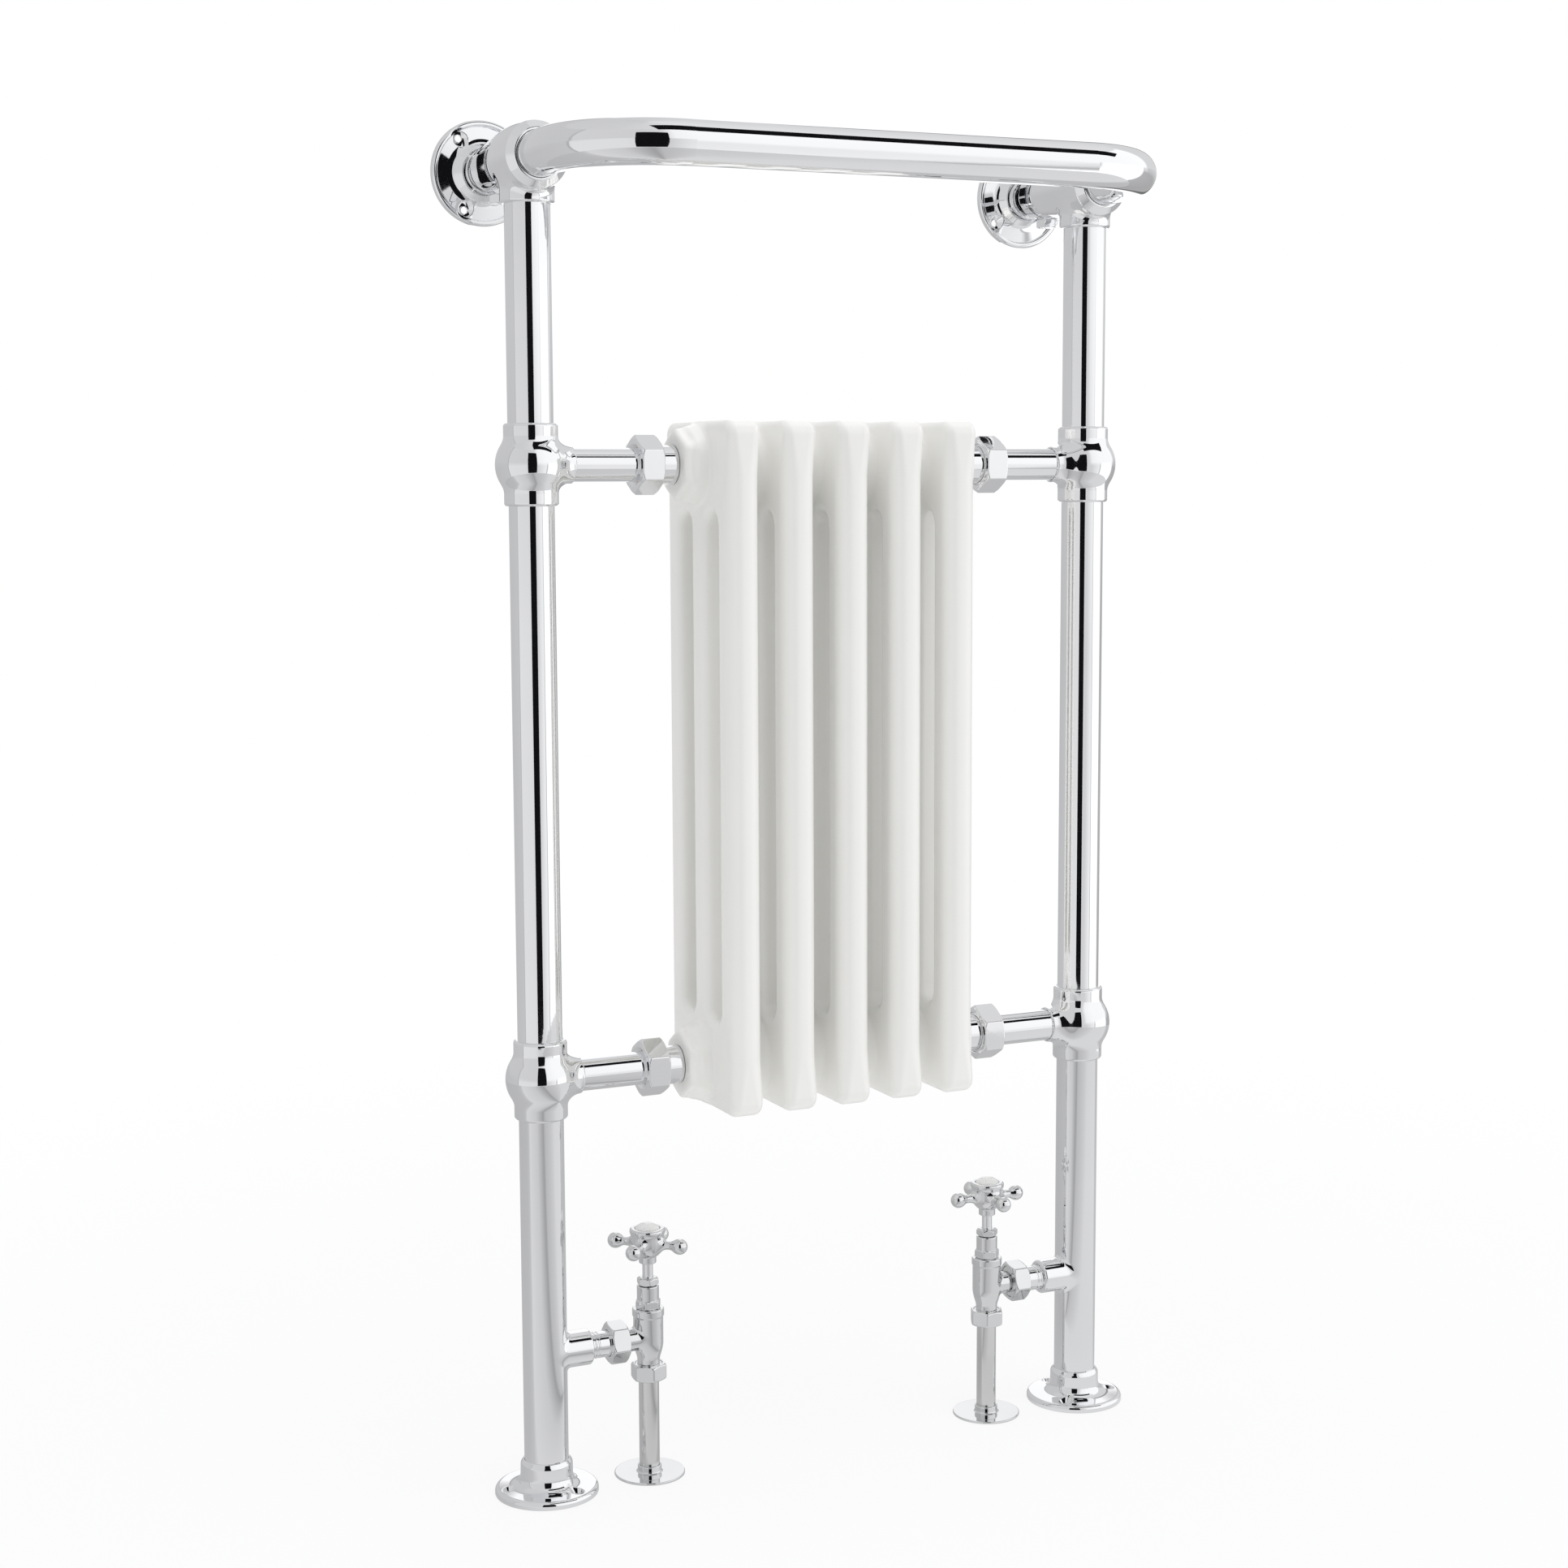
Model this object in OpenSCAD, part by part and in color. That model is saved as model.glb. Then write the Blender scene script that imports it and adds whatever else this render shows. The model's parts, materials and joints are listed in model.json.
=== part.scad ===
// Floor-standing heated towel rail: a plated tube frame with ball tees carries a
// white column radiator between its posts, and two angled valves with cross
// handles feed it from the floor. Millimetres, +Z up, back to the wall at +Y.

/* [Frame] */
// Distance between the two post axes
post_spacing = 445; // [420:1:520]
// Outer diameter of posts and top rail
tube_d = 32; // [30:0.5:33]
// Wall thickness of all tubes
tube_wall = 1.5; // [1:0.1:2]
// Height of the top rail's axis above the floor
rail_z = 947; // [900:1:1000]
// Height of the upper cross tubes
upper_z = 739; // [720:1:750]
// Height of the lower cross tubes
lower_z = 305.5; // [290:0.5:320]
// How far the rail's front run stands before the posts
rail_reach = 117.5; // [100:0.5:125]
// Radius of the rail's two bends, on its centre line
rail_bend_r = 70; // [60:1:85]
// Distance from the post axes back to the wall
wall_gap = 101.5; // [95:0.5:110]

/* [Fittings] */
// Diameter of the ball of each ball tee
ball_d = 50; // [47:0.5:52]
// Outer diameter of the sockets that hold the tubes
socket_d = 38; // [37:0.5:39]
// Overall height of a ball tee
tee_h = 57; // [54:1:64]
// Diameter of the round flanges on floor and wall
flange_d = 75; // [70:1:80]
// Diameter of the circle that the flange screw holes lie on
flange_pcd = 58; // [56:1:60]
// Diameter of the flange screw holes
flange_hole_d = 5; // [4:0.5:6]
// Outer diameter of the cross tubes
cross_d = 24; // [22:0.5:25]
// Size across flats of the nuts at the radiator
union_af = 37; // [36:0.5:40]

/* [Radiator] */
// Distance from one section to the next
section_pitch = 43; // [40:0.5:45]
// Diameter of each upright radiator tube
column_d = 25; // [22:0.5:26]
// Distance between the upright tubes of one section
column_pitch = 47; // [42:0.5:48]
// Height of metal above the upper and below the lower hub
head_rise = 31; // [30:0.5:34]
// Sheet thickness of the radiator
sheet = 2; // [1.5:0.1:3]

/* [Valves] */
// Distance from a post axis to its valve axis
valve_reach = 80.3; // [78:0.1:84]
// Height of the valve's side connection
valve_z = 103.5; // [100:0.5:110]
// Diameter of the floor plate around the pipe
plate_d = 52; // [48:1:56]
// Distance from the handle's centre to the middle of an arm's ball
arm_reach = 25.5; // [22:0.5:27]
// Turn of the left handle at rest
left_handle_turn = 45; // [0:1:90]
// Turn of the right handle at rest
right_handle_turn = 0; // [0:1:90]

/* [Hidden] */
$fn = 64;

left = -1;
right = 1;
eps = 0.01;
fit = 0.03;             // radial play of tubes in their sockets
run = 0.05;             // radial play of shafts that turn or slide
post_x = post_spacing / 2;
tube_r = tube_d / 2;
// The depth from rail front to wall is centred on y = 0.
post_y = (rail_reach + tube_r - wall_gap) / 2;
ball_r = ball_d / 2;
socket_r = socket_d / 2;
socket_depth = 12;
cross_r = cross_d / 2;
stub_r = 13.5;          // side socket of a ball tee
stub_end = 29.5;        // its end, from the post axis

// Corner tee
corner_r = 22;          // body behind its front bevel
corner_front = 27;      // front end, before the post axis
corner_drop = 31;       // lower end, below the rail axis
corner_top = 24;        // widest part of the body
corner_bevel = 4.4;
sleeve_r = 17;          // rear end of the sleeve that takes the wall spigot
sleeve_end = 70;
spigot_r = 12;
bolt_y = 57;
bolt_seat = 19.2;       // below the rail axis

// Foot flange
foot_rise = 26;
foot_bevel = [2.4, 3.6];
foot_floor = 3;

// Radiator, measured from its middle
section_count = 5;
hub_end = section_pitch / 2;
hub_r = 29;
rad_half = (section_count - 1) / 2 * section_pitch;
rad_side = rad_half + hub_end;
column_r = column_d / 2;
rad_top = upper_z + head_rise;
rad_bottom = lower_z - head_rise;
slot_w = column_pitch - column_d;
slot_drop = 45;         // arch centres below or above the hubs
corner_round = 11;
hub_bore_r = 16.65;

// Union at the radiator, measured inwards from the post axis
gasket_t = 1.2;
bush_t = 7.8;
bush_face = post_x - rad_side - gasket_t - bush_t;
nut_start = bush_face - 30;
nut_len = 17;
tail_r = 14;

// Valve, with heights above the floor
seat_z = 107;
spindle_foot = seat_z + 6.5;
body_r = 11.7;
body_top = 126;
body_low = 84;
bonnet_top = 143;
gland_top = 149.3;
spindle_r = 3.9;
collar_z = 159.8;
hub_z = 166;
arm_z = 174.2;
cap_z = 186;
cap_top = 190.2;
cap_r = 9.3;
rim_r = 13;
arm_ball_r = 5.8;
comp_top = 84.2;
comp_bottom = 72.2;
comp_flats = 23.6;
branch_r = 8.5;
branch_collar_r = 11.9;
union_start = 18.6;     // valve union nut, from the valve axis towards the post
union_len = 13.6;
union_flats = 27.5;
bonnet_flats = 17;
bonnet_r = 8;
gland_flats = 14.6;
pipe_r = 15 / 2;        // standard 15 mm pipe
pipe_top = 93;
branch_seat = 26;       // face between valve body and tail, from the valve axis
valve_tail_r = 9.5;
boss_r = 13;
boss_end = 34;          // end of the post's side boss, from the post axis

// Air vent, as distances behind the post axis
vent_shank_r = 6.2;
vent_seat_r = 10;
vent_end = 17.5;        // inner end of the plug
vent_screw_r = 3;
vent_seat_y = 21;       // bottom of the screw's bore

chrome = "#d4d6d9";
brass = "#c9a95a";
white = "#f1f0ec";
rubber = "#2b2b2c";
steel = "#9da1a6";

// ---------- placing ----------

// Moves a left-hand piece to its post; the right-hand one is its mirror image.
module at_post(side) {
  translate([side * post_x, post_y, 0])
    mirror([side == right ? 1 : 0, 0, 0])
      children();
}

// The valve axis on one side
module at_valve(side) {
  at_post(side) translate([valve_reach, 0, 0]) children();
}

module along_x() {
  rotate([0, 90, 0]) children();
}

module along_y() {
  rotate([-90, 0, 0]) children();
}

// ---------- shared shapes ----------

module tube(r, h, wall = tube_wall) {
  difference() {
    cylinder(r = r, h = h);
    translate([0, 0, -1]) cylinder(r = r - wall, h = h + 2);
  }
}

// Ring with small bevels on its outer edges
module bevel_ring(r, r_in, h, bevel) {
  rotate_extrude()
    polygon([[r_in, 0], [r - bevel, 0], [r, bevel], [r, h - bevel], [r - bevel, h], [r_in, h]]);
}

// Hexagon nut, its corners turned off by a chamfer; the corners point along +X
module hex_blank(af, h, chamfer) {
  corner = af / sqrt(3);
  intersection() {
    cylinder(r = corner, h = h, $fn = 6);
    rotate_extrude()
      polygon([[0, 0], [corner - chamfer, 0], [corner + eps, chamfer * 0.7],
               [corner + eps, h - chamfer * 0.7], [corner - chamfer, h], [0, h]]);
  }
}

// Three countersunk screw holes through a flange that lies on z = 0
module screw_holes(turn, thickness) {
  for (i = [0:2])
    rotate([0, 0, turn + 120 * i])
      translate([flange_pcd / 2, 0, 0]) {
        translate([0, 0, -1]) cylinder(d = flange_hole_d, h = 20);
        translate([0, 0, thickness - 2.2])
          cylinder(d1 = flange_hole_d, d2 = flange_hole_d + 4.6, h = 2.3);
        translate([0, 0, thickness + 0.1 - eps]) cylinder(d = flange_hole_d + 4.6, h = 12);
      }
}

// ---------- frame ----------

// Floor flange: a round-edged plate that sweeps up into the collar of a post
module foot_flange(side, turn) {
  r = flange_d / 2;
  color(chrome) at_post(side) difference() {
    rotate_extrude() difference() {
      union() {
        translate([12.5, 0]) square([r - 4 - 12.5, 7]);
        square([r, 3]);
        translate([r - 4, 3]) circle(r = 4);
        polygon([[0, 0], [socket_r, 0], [socket_r, foot_rise - foot_bevel[1]],
                 [socket_r - foot_bevel[0], foot_rise], [0, foot_rise]]);
        difference() {
          translate([socket_r - 1, 6]) square([7, 6]);
          translate([socket_r + 6, 13]) circle(r = 6);
        }
      }
      translate([-eps, -eps]) square([12.5, foot_floor + 2 * eps]);
      translate([-eps, foot_floor]) square([tube_r + fit + eps, foot_rise]);
      translate([-r, -r]) square([2 * r + 2, r]);
    }
    screw_holes(turn, 7);
  }
}

// Lower post with the side boss that the valve screws into
module lower_post(side) {
  top = lower_z - tee_h / 2 + socket_depth;
  color(chrome) at_post(side) difference() {
    union() {
      translate([0, 0, foot_floor]) cylinder(r = tube_r, h = top - foot_floor);
      translate([0, 0, valve_z]) along_x() rotate_extrude()
        polygon([[0, 0], [boss_r, 0], [boss_r, boss_end - 1], [boss_r - 1, boss_end],
                 [0, boss_end]]);
    }
    translate([0, 0, foot_floor - 1]) cylinder(r = tube_r - tube_wall, h = top);
    translate([0, 0, valve_z]) along_x() cylinder(r = valve_tail_r + fit, h = boss_end + 1);
  }
}

module straight_post(side, from_z, to_z) {
  color(chrome) at_post(side) translate([0, 0, from_z]) tube(tube_r, to_z - from_z);
}

// Ball tee: a ball with a socket above, below and to the radiator's side. A vented
// one also has a flat seat and a hole at the back for the air vent.
module ball_tee(side, z, vented = false) {
  h = tee_h / 2;
  color(chrome) at_post(side) translate([0, 0, z]) difference() {
    union() {
      sphere(r = ball_r);
      translate([0, 0, -h]) bevel_ring(socket_r, 0, tee_h, 1);
      along_x() bevel_ring(stub_r, 0, stub_end, 0.8);
      translate([20, 0, 0]) along_x() cylinder(r1 = 17, r2 = stub_r, h = 5);
      if (vented) along_y() cylinder(r = vent_seat_r, h = ball_r);
    }
    translate([0, 0, -h - 1]) cylinder(r = tube_r - tube_wall, h = tee_h + 2);
    translate([0, 0, h - socket_depth]) cylinder(r = tube_r + fit, h = socket_depth + 1);
    translate([0, 0, -h - 1]) cylinder(r = tube_r + fit, h = socket_depth + 1);
    along_x() cylinder(r = cross_r - tube_wall, h = stub_end + 1);
    translate([18, 0, 0]) along_x() cylinder(r = cross_r + fit, h = stub_end);
    if (vented) along_y() cylinder(r = vent_shank_r + fit, h = ball_r + 1);
  }
}

// Corner tee: takes the post from below, the rail in front and the wall spigot behind
module corner_tee(side) {
  color(chrome) at_post(side) translate([0, 0, rail_z]) difference() {
    union() {
      translate([0, -corner_front, 0]) along_y() rotate_extrude()
        polygon([[0, 0], [corner_r - corner_bevel, 0], [corner_r, corner_bevel],
                 [corner_top, corner_front - 8], [corner_top, corner_front + 2],
                 [sleeve_r, corner_front + sleeve_end - 1],
                 [sleeve_r - 1, corner_front + sleeve_end], [0, corner_front + sleeve_end]]);
      translate([0, 0, -corner_drop]) bevel_ring(socket_r, 0, corner_drop, 1);
      translate([0, bolt_y, -bolt_seat]) cylinder(r = 7, h = bolt_seat);
    }
    translate([0, -corner_front - 1, 0]) along_y() cylinder(r = tube_r + fit, h = 16);
    translate([0, -corner_front, 0]) along_y() cylinder(r = 12, h = corner_front + 30);
    translate([0, 36, 0]) along_y() cylinder(r = spigot_r + fit, h = sleeve_end);
    translate([0, 0, -corner_drop - 1]) cylinder(r = tube_r + fit, h = 14);
    translate([0, 0, -corner_drop]) cylinder(r = 14, h = corner_drop);
    translate([0, bolt_y, -30]) cylinder(r = 4 + fit, h = 30);
  }
}

// Quarter bend from the +X direction of its start to the +Y direction of its end
module rail_bend(r_tube, r_bend) {
  rotate_extrude(angle = 90) translate([r_bend, 0]) circle(r = r_tube);
}

// Solid bar along the centre line of the top rail
module rail_bar(r, overrun) {
  leg_start = corner_front - 14 + 0.2;
  leg = rail_reach - rail_bend_r - leg_start;
  front = post_spacing - 2 * rail_bend_r;
  for (side = [left, right])
    at_post(side) translate([0, 0, rail_z]) {
      translate([0, -leg_start + overrun, 0]) rotate([90, 0, 0])
        cylinder(r = r, h = leg + overrun);
      translate([rail_bend_r, -rail_reach + rail_bend_r, 0]) rotate([0, 0, 180])
        rail_bend(r, rail_bend_r);
    }
  translate([-front / 2, post_y - rail_reach, rail_z]) along_x() cylinder(r = r, h = front);
}

module top_rail() {
  color(chrome) difference() {
    rail_bar(tube_r, 0);
    rail_bar(tube_r - tube_wall, 1);
  }
}

// Wall flange: a domed plate in a beaded rim, a cone, a cup and the spigot for the sleeve
module wall_flange(side, turn) {
  r = flange_d / 2;
  color(chrome) at_post(side) translate([0, wall_gap, rail_z]) rotate([90, 0, 0])
    difference() {
      rotate_extrude()
        polygon([[0, 0], [r, 0], [r, 3.5], [r - 1.2, 6.3], [r - 3, 7], [r - 4.2, 4.5],
                 [22, 6.4], [20.9, 7.6], [15.6, 13], [16.4, 14.4], [16.4, 19],
                 [15.4, 20], [13.4, 20], [13.4, 16], [spigot_r, 16],
                 [spigot_r, wall_gap - 38.5], [0, wall_gap - 38.5]]);
      rotate([0, 0, side == right ? 180 - turn : turn]) screw_holes(0, 5.5);
    }
}

// Hexagon-head bolts that lock the spigots in the sleeves, seen from below
module bracket_lock_bolts() {
  head_z = rail_z - bolt_seat;
  color(chrome) for (side = [left, right])
    at_post(side) translate([0, bolt_y, 0]) {
      translate([0, 0, head_z - 6]) rotate([0, 0, 8]) hex_blank(14, 6, 1.2);
      translate([0, 0, head_z - eps]) cylinder(r = 4, h = bolt_seat - spigot_r - 0.1);
    }
}

// ---------- connections to the radiator ----------

module cross_tube(side, z) {
  start = 18.5;
  color(chrome) at_post(side) translate([start, 0, z]) along_x()
    tube(cross_r, nut_start + 12 - start);
}

// Places one piece of a union at each of the radiator's four corners
module at_unions() {
  for (side = [left, right])
    for (z = [lower_z, upper_z])
      at_post(side) translate([0, 0, z]) children();
}

module union_olives() {
  color(brass) at_unions() translate([nut_start + 3.1, 0, 0]) along_x() rotate_extrude()
    polygon([[cross_r + fit, 0], [cross_r + 1.2, 0], [cross_r + 2.6, 2.2],
             [cross_r + 1.2, 4.4], [cross_r + fit, 4.4]]);
}

module union_nuts() {
  color(chrome) at_unions() translate([nut_start, 0, 0]) along_x() difference() {
    hex_blank(union_af, nut_len, 2.2);
    translate([0, 0, -1]) cylinder(r = cross_r + 0.15, h = 6);
    translate([0, 0, 3]) cylinder(r = 15.15, h = nut_len);
  }
}

// Chrome tails: threaded into the nut at one end and into the bush at the other
module radiator_tails() {
  start = nut_start + 7.8;
  face = bush_face - start;
  color(chrome) at_unions() translate([start, 0, 0]) along_x() difference() {
    rotate_extrude()
      polygon([[10, 0], [15.1, 0], [15.1, 8.4], [tail_r, 9], [tail_r, face - 0.6],
               [tail_r - 0.6, face], [13.2, face], [13.2, face + 11], [10, face + 11]]);
    translate([0, 0, -1]) cylinder(r = cross_r + fit, h = 5.4);
  }
}

// White hexagon bushes that close the end hubs down to the tails
module radiator_bushes() {
  color(white) at_unions() translate([bush_face, 0, 0]) along_x() difference() {
    union() {
      hex_blank(46, bush_t, 2.4);
      translate([0, 0, bush_t - eps]) cylinder(r = hub_bore_r - fit, h = 15);
    }
    translate([0, 0, -1]) cylinder(r = 13.2 + fit, h = 30);
  }
}

module bush_gaskets() {
  color(rubber) at_unions() translate([bush_face + bush_t, 0, 0]) along_x() difference() {
    cylinder(r = 19.5, h = gasket_t);
    translate([0, 0, -1]) cylinder(r = hub_bore_r, h = 4);
  }
}

// ---------- radiator ----------

// Side view of one section's head, its outer corners rounded; y is up
module head_side(inset) {
  half = column_pitch + column_r - inset;
  low = rad_top - slot_drop - head_rise;
  round_r = corner_round - inset;
  difference() {
    union() {
      translate([-half, low]) square([2 * half, rad_top - inset - round_r - low]);
      translate([-half + round_r, low]) square([2 * (half - round_r), rad_top - inset - low]);
      for (s = [-1, 1])
        translate([s * (half - round_r), rad_top - inset - round_r]) circle(r = round_r);
    }
    for (s = [-1, 1])
      translate([s * column_pitch / 2, low]) circle(r = slot_w / 2 + inset);
  }
}

// Head of a section, made as the common part of its plan and its side view
module section_head(inset) {
  depth = 2 * (column_pitch + column_r) + 10;
  intersection() {
    translate([0, 0, rad_top - 100]) linear_extrude(120) union() {
      square([2 * (column_r - inset), 2 * column_pitch], center = true);
      for (s = [-1, 1])
        translate([0, s * column_pitch]) circle(r = column_r - inset);
    }
    rotate([90, 0, 90]) linear_extrude(depth, center = true) head_side(inset);
  }
}

// One section's outer form; the same form with an inset is its hollow
module section_form(inset) {
  middle = (upper_z + lower_z) / 2;
  low = rad_top - slot_drop - head_rise;
  for (s = [-1:1])
    translate([0, s * column_pitch, 2 * middle - low - eps])
      cylinder(r = column_r - inset, h = 2 * (low - middle) + 2 * eps);
  section_head(inset);
  translate([0, 0, 2 * middle]) mirror([0, 0, 1]) section_head(inset);
}

module section_hub() {
  rotate_extrude() polygon([[0, -hub_end], [hub_r - 5, -hub_end], [hub_r - 4, -hub_end + 1],
    [hub_r, -column_r - 2], [hub_r, column_r + 2], [hub_r - 4, hub_end - 1],
    [hub_r - 5, hub_end], [0, hub_end]]);
}

module radiator_section(number) {
  x = (number - (section_count + 1) / 2) * section_pitch;
  color(white) translate([x, post_y, 0]) difference() {
    union() {
      section_form(0);
      for (z = [lower_z, upper_z]) translate([0, 0, z]) along_x() section_hub();
    }
    section_form(sheet);
    for (z = [lower_z, upper_z])
      translate([0, 0, z]) along_x() cylinder(r = hub_bore_r, h = 3 * hub_end, center = true);
    for (s = [1:section_count - 1])
      if (number == s || number == s + 1)
        for (z = [lower_z, upper_z])
          translate([number == s ? hub_end : -hub_end, 0, z]) along_x()
            cylinder(r = 20, h = gasket_t, center = true);
  }
}

// Places a piece at both hubs of every joint between two sections
module at_section_joints() {
  for (s = [1:section_count - 1])
    for (z = [lower_z, upper_z])
      translate([(s - section_count / 2) * section_pitch, post_y, z])
        along_x() children();
}

module section_nipples() {
  color(steel) at_section_joints() difference() {
    cylinder(r = hub_bore_r - fit, h = 26, center = true);
    cylinder(r = 13, h = 30, center = true);
  }
}

module section_gaskets() {
  color(rubber) at_section_joints() difference() {
    cylinder(r = 19.9, h = gasket_t - 0.05, center = true);
    cylinder(r = hub_bore_r, h = 2, center = true);
  }
}

// Air vent at the back of the left upper ball tee
module air_vent_plug() {
  color(chrome) at_post(left) translate([0, 0, upper_z]) along_y() difference() {
    union() {
      translate([0, 0, ball_r]) rotate([0, 0, 30]) hex_blank(17, 5, 1.2);
      translate([0, 0, vent_end]) cylinder(r = vent_shank_r, h = ball_r - vent_end + eps);
      translate([0, 0, ball_r + 5 - eps]) cylinder(r = 5, h = 2);
    }
    translate([0, 0, vent_seat_y]) cylinder(r = vent_screw_r + run, h = 20);
    translate([0, 0, vent_end - 1]) cylinder(r = 1.2, h = 8);
  }
}

module air_vent_screw() {
  color(brass) at_post(left) translate([0, 0, upper_z]) along_y() {
    translate([0, 0, vent_seat_y + 0.5]) cylinder(r = vent_screw_r, h = 8.7);
    translate([-2.1, -2.1, vent_seat_y + 9.2 - eps]) cube([4.2, 4.2, 5]);
  }
}

// ---------- valves ----------

// Angled valve body: pipe from below, branch to the post at the side
module valve_body(side) {
  color(chrome) at_valve(side) difference() {
    union() {
      rotate_extrude()
        polygon([[0, body_low - 6], [8.3, body_low - 6], [8.3, body_low + 4],
                 [body_r, body_low + 13], [body_r, body_top - 6.5],
                 [body_r - 0.5, body_top - 6], [body_r, body_top - 5.5],
                 [body_r, body_top - 1], [body_r - 1, body_top], [0, body_top]]);
      translate([0, 0, comp_bottom + 5]) cylinder(r = 9.9, h = comp_top - comp_bottom - 5.5);
      translate([0, 0, valve_z]) rotate([0, -90, 0]) {
        cylinder(r = branch_r, h = branch_seat - 0.5);
        translate([0, 0, 20]) cylinder(r = branch_collar_r, h = branch_seat - 20);
      }
    }
    // Bore for the bonnet, above the seat, and the flow passages
    translate([0, 0, seat_z + 2]) cylinder(r = bonnet_r + fit, h = 40);
    translate([0, 0, seat_z - 1]) cylinder(r = 7.2, h = 4);
    translate([0, 0, 60]) cylinder(r = 4.5, h = 60);
    translate([0, 0, 60]) cylinder(r = pipe_r + fit, h = pipe_top - 60);
    translate([-5, 0, seat_z + 3.5]) rotate([0, -90, 0]) cylinder(r = 2.5, h = 5.4);
    translate([-9, 0, valve_z]) rotate([0, -90, 0]) cylinder(r = 6, h = branch_seat);
  }
}

// Bonnet: screwed into the body, guides the spindle
module valve_bonnets() {
  color(chrome) for (side = [left, right]) at_valve(side) difference() {
    union() {
      translate([0, 0, seat_z + 9]) cylinder(r = bonnet_r, h = body_top - seat_z - 9);
      translate([0, 0, body_top - eps]) rotate([0, 0, side == left ? 0 : 15])
        hex_blank(bonnet_flats, 6.3, 0.8);
      translate([0, 0, body_top + 6.2])
        bevel_ring(bonnet_r - 0.1, 0, bonnet_top - body_top - 6.2, 0.7);
    }
    translate([0, 0, seat_z]) cylinder(r = spindle_r + run, h = 60);
    translate([0, 0, bonnet_top - 6]) cylinder(r = 6, h = 10);
  }
}

module gland_nuts() {
  color(chrome) for (side = [left, right]) at_valve(side) difference() {
    union() {
      translate([0, 0, bonnet_top - 3]) cylinder(r = 6 - fit, h = 3.1);
      translate([0, 0, bonnet_top]) rotate([0, 0, 20])
        hex_blank(gland_flats, gland_top - bonnet_top, 2.2);
    }
    translate([0, 0, bonnet_top - 10]) cylinder(r = spindle_r + run, h = 30);
  }
}

module gland_packings() {
  color(rubber) for (side = [left, right]) at_valve(side)
    translate([0, 0, bonnet_top - 5.9]) difference() {
      cylinder(r = 5.9, h = 2.8);
      translate([0, 0, -1]) cylinder(r = spindle_r + run, h = 6);
    }
}

module spindle(side) {
  color(brass) at_valve(side) {
    translate([0, 0, spindle_foot]) cylinder(r = spindle_r, h = hub_z - spindle_foot);
    translate([0, 0, hub_z - eps]) cylinder(r = 3, h = 9);
  }
}

// Jumper: the disc and rubber washer that close the seat, on a stem
module jumper(side) {
  color(brass) at_valve(side) {
    translate([0, 0, seat_z - 0.9]) cylinder(r = 6.6, h = 2.4);
    translate([0, 0, seat_z + 1.4]) cylinder(r = 6.6, h = 1.6);
    translate([0, 0, seat_z + 2.9]) cylinder(r = 2.4, h = 3.2);
  }
}

// Cross handle: a round hub, four waisted arms that end in balls, and a collar
module handle(side, turn) {
  color(chrome) at_valve(side) rotate([0, 0, side == right ? -turn : turn]) difference() {
    union() {
      rotate_extrude()
        polygon([[0, collar_z], [5.6, collar_z], [6, collar_z + 0.5], [6, hub_z],
                 [8.5, hub_z + 0.6], [11, hub_z + 4], [rim_r - 1, arm_z + 3], [rim_r, cap_z - 4],
                 [rim_r, cap_z - 1.2], [rim_r - 1.2, cap_z], [0, cap_z]]);
      for (i = [0:3]) rotate([0, 0, 90 * i]) translate([0, 0, arm_z]) {
        translate([6, 0, 0]) along_x() cylinder(r1 = 6.5, r2 = 3.2, h = 8);
        translate([13, 0, 0]) along_x() cylinder(r1 = 3.2, r2 = 4, h = arm_reach - 16);
        translate([arm_reach, 0, 0]) sphere(r = arm_ball_r);
      }
    }
    translate([0, 0, collar_z - 1]) cylinder(r = spindle_r + fit, h = hub_z - collar_z + 1);
    translate([0, 0, collar_z]) cylinder(r = 3 + fit, h = 16);
    translate([0, 0, arm_z]) cylinder(r = 2 + fit, h = 20);
    translate([0, 0, cap_z - 4]) cylinder(r = cap_r + fit, h = 10);
  }
}

// Domed disc that covers the handle's screw
module handle_cap(side) {
  dome = cap_top - cap_z + 0.4;
  ball = (cap_r * cap_r + dome * dome) / (2 * dome);
  color(white) at_valve(side) difference() {
    union() {
      translate([0, 0, cap_z - 1.9]) cylinder(r = cap_r, h = 1.5 + eps);
      intersection() {
        translate([0, 0, cap_z - 0.4 + dome - ball]) sphere(r = ball);
        translate([0, 0, cap_z - 0.4]) cylinder(r = cap_r, h = 20);
      }
    }
    translate([0, 0, cap_z - 3]) cylinder(r = 4, h = 1.7);
  }
}

module handle_screw(side) {
  color(steel) at_valve(side) difference() {
    union() {
      translate([0, 0, hub_z + 9]) cylinder(r = 2, h = cap_z - 4 - hub_z - 8.9);
      translate([0, 0, cap_z - 4]) cylinder(r = 3.6, h = 1.9);
    }
    translate([-5, -0.4, cap_z - 2.7]) cube([10, 0.8, 2]);
  }
}

// Tail that joins the valve to the boss of the post
module valve_tails() {
  len = valve_reach - branch_seat;
  color(chrome) for (side = [left, right])
    at_valve(side) translate([-branch_seat, 0, valve_z]) rotate([0, -90, 0])
      rotate_extrude()
        polygon([[6, 0], [11.5, 0], [11.5, 2.6], [valve_tail_r, 3],
                 [valve_tail_r, len - boss_end - 6], [valve_tail_r - 0.6, len - boss_end - 5.4],
                 [valve_tail_r - 0.6, len - boss_end - 4.8], [valve_tail_r, len - boss_end - 4.2],
                 [valve_tail_r, len - boss_end - 3.4], [valve_tail_r - 0.6, len - boss_end - 2.8],
                 [valve_tail_r - 0.6, len - boss_end - 2.2], [valve_tail_r, len - boss_end - 1.6],
                 [valve_tail_r, len - boss_end + 13], [6, len - boss_end + 13]]);
}

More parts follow.
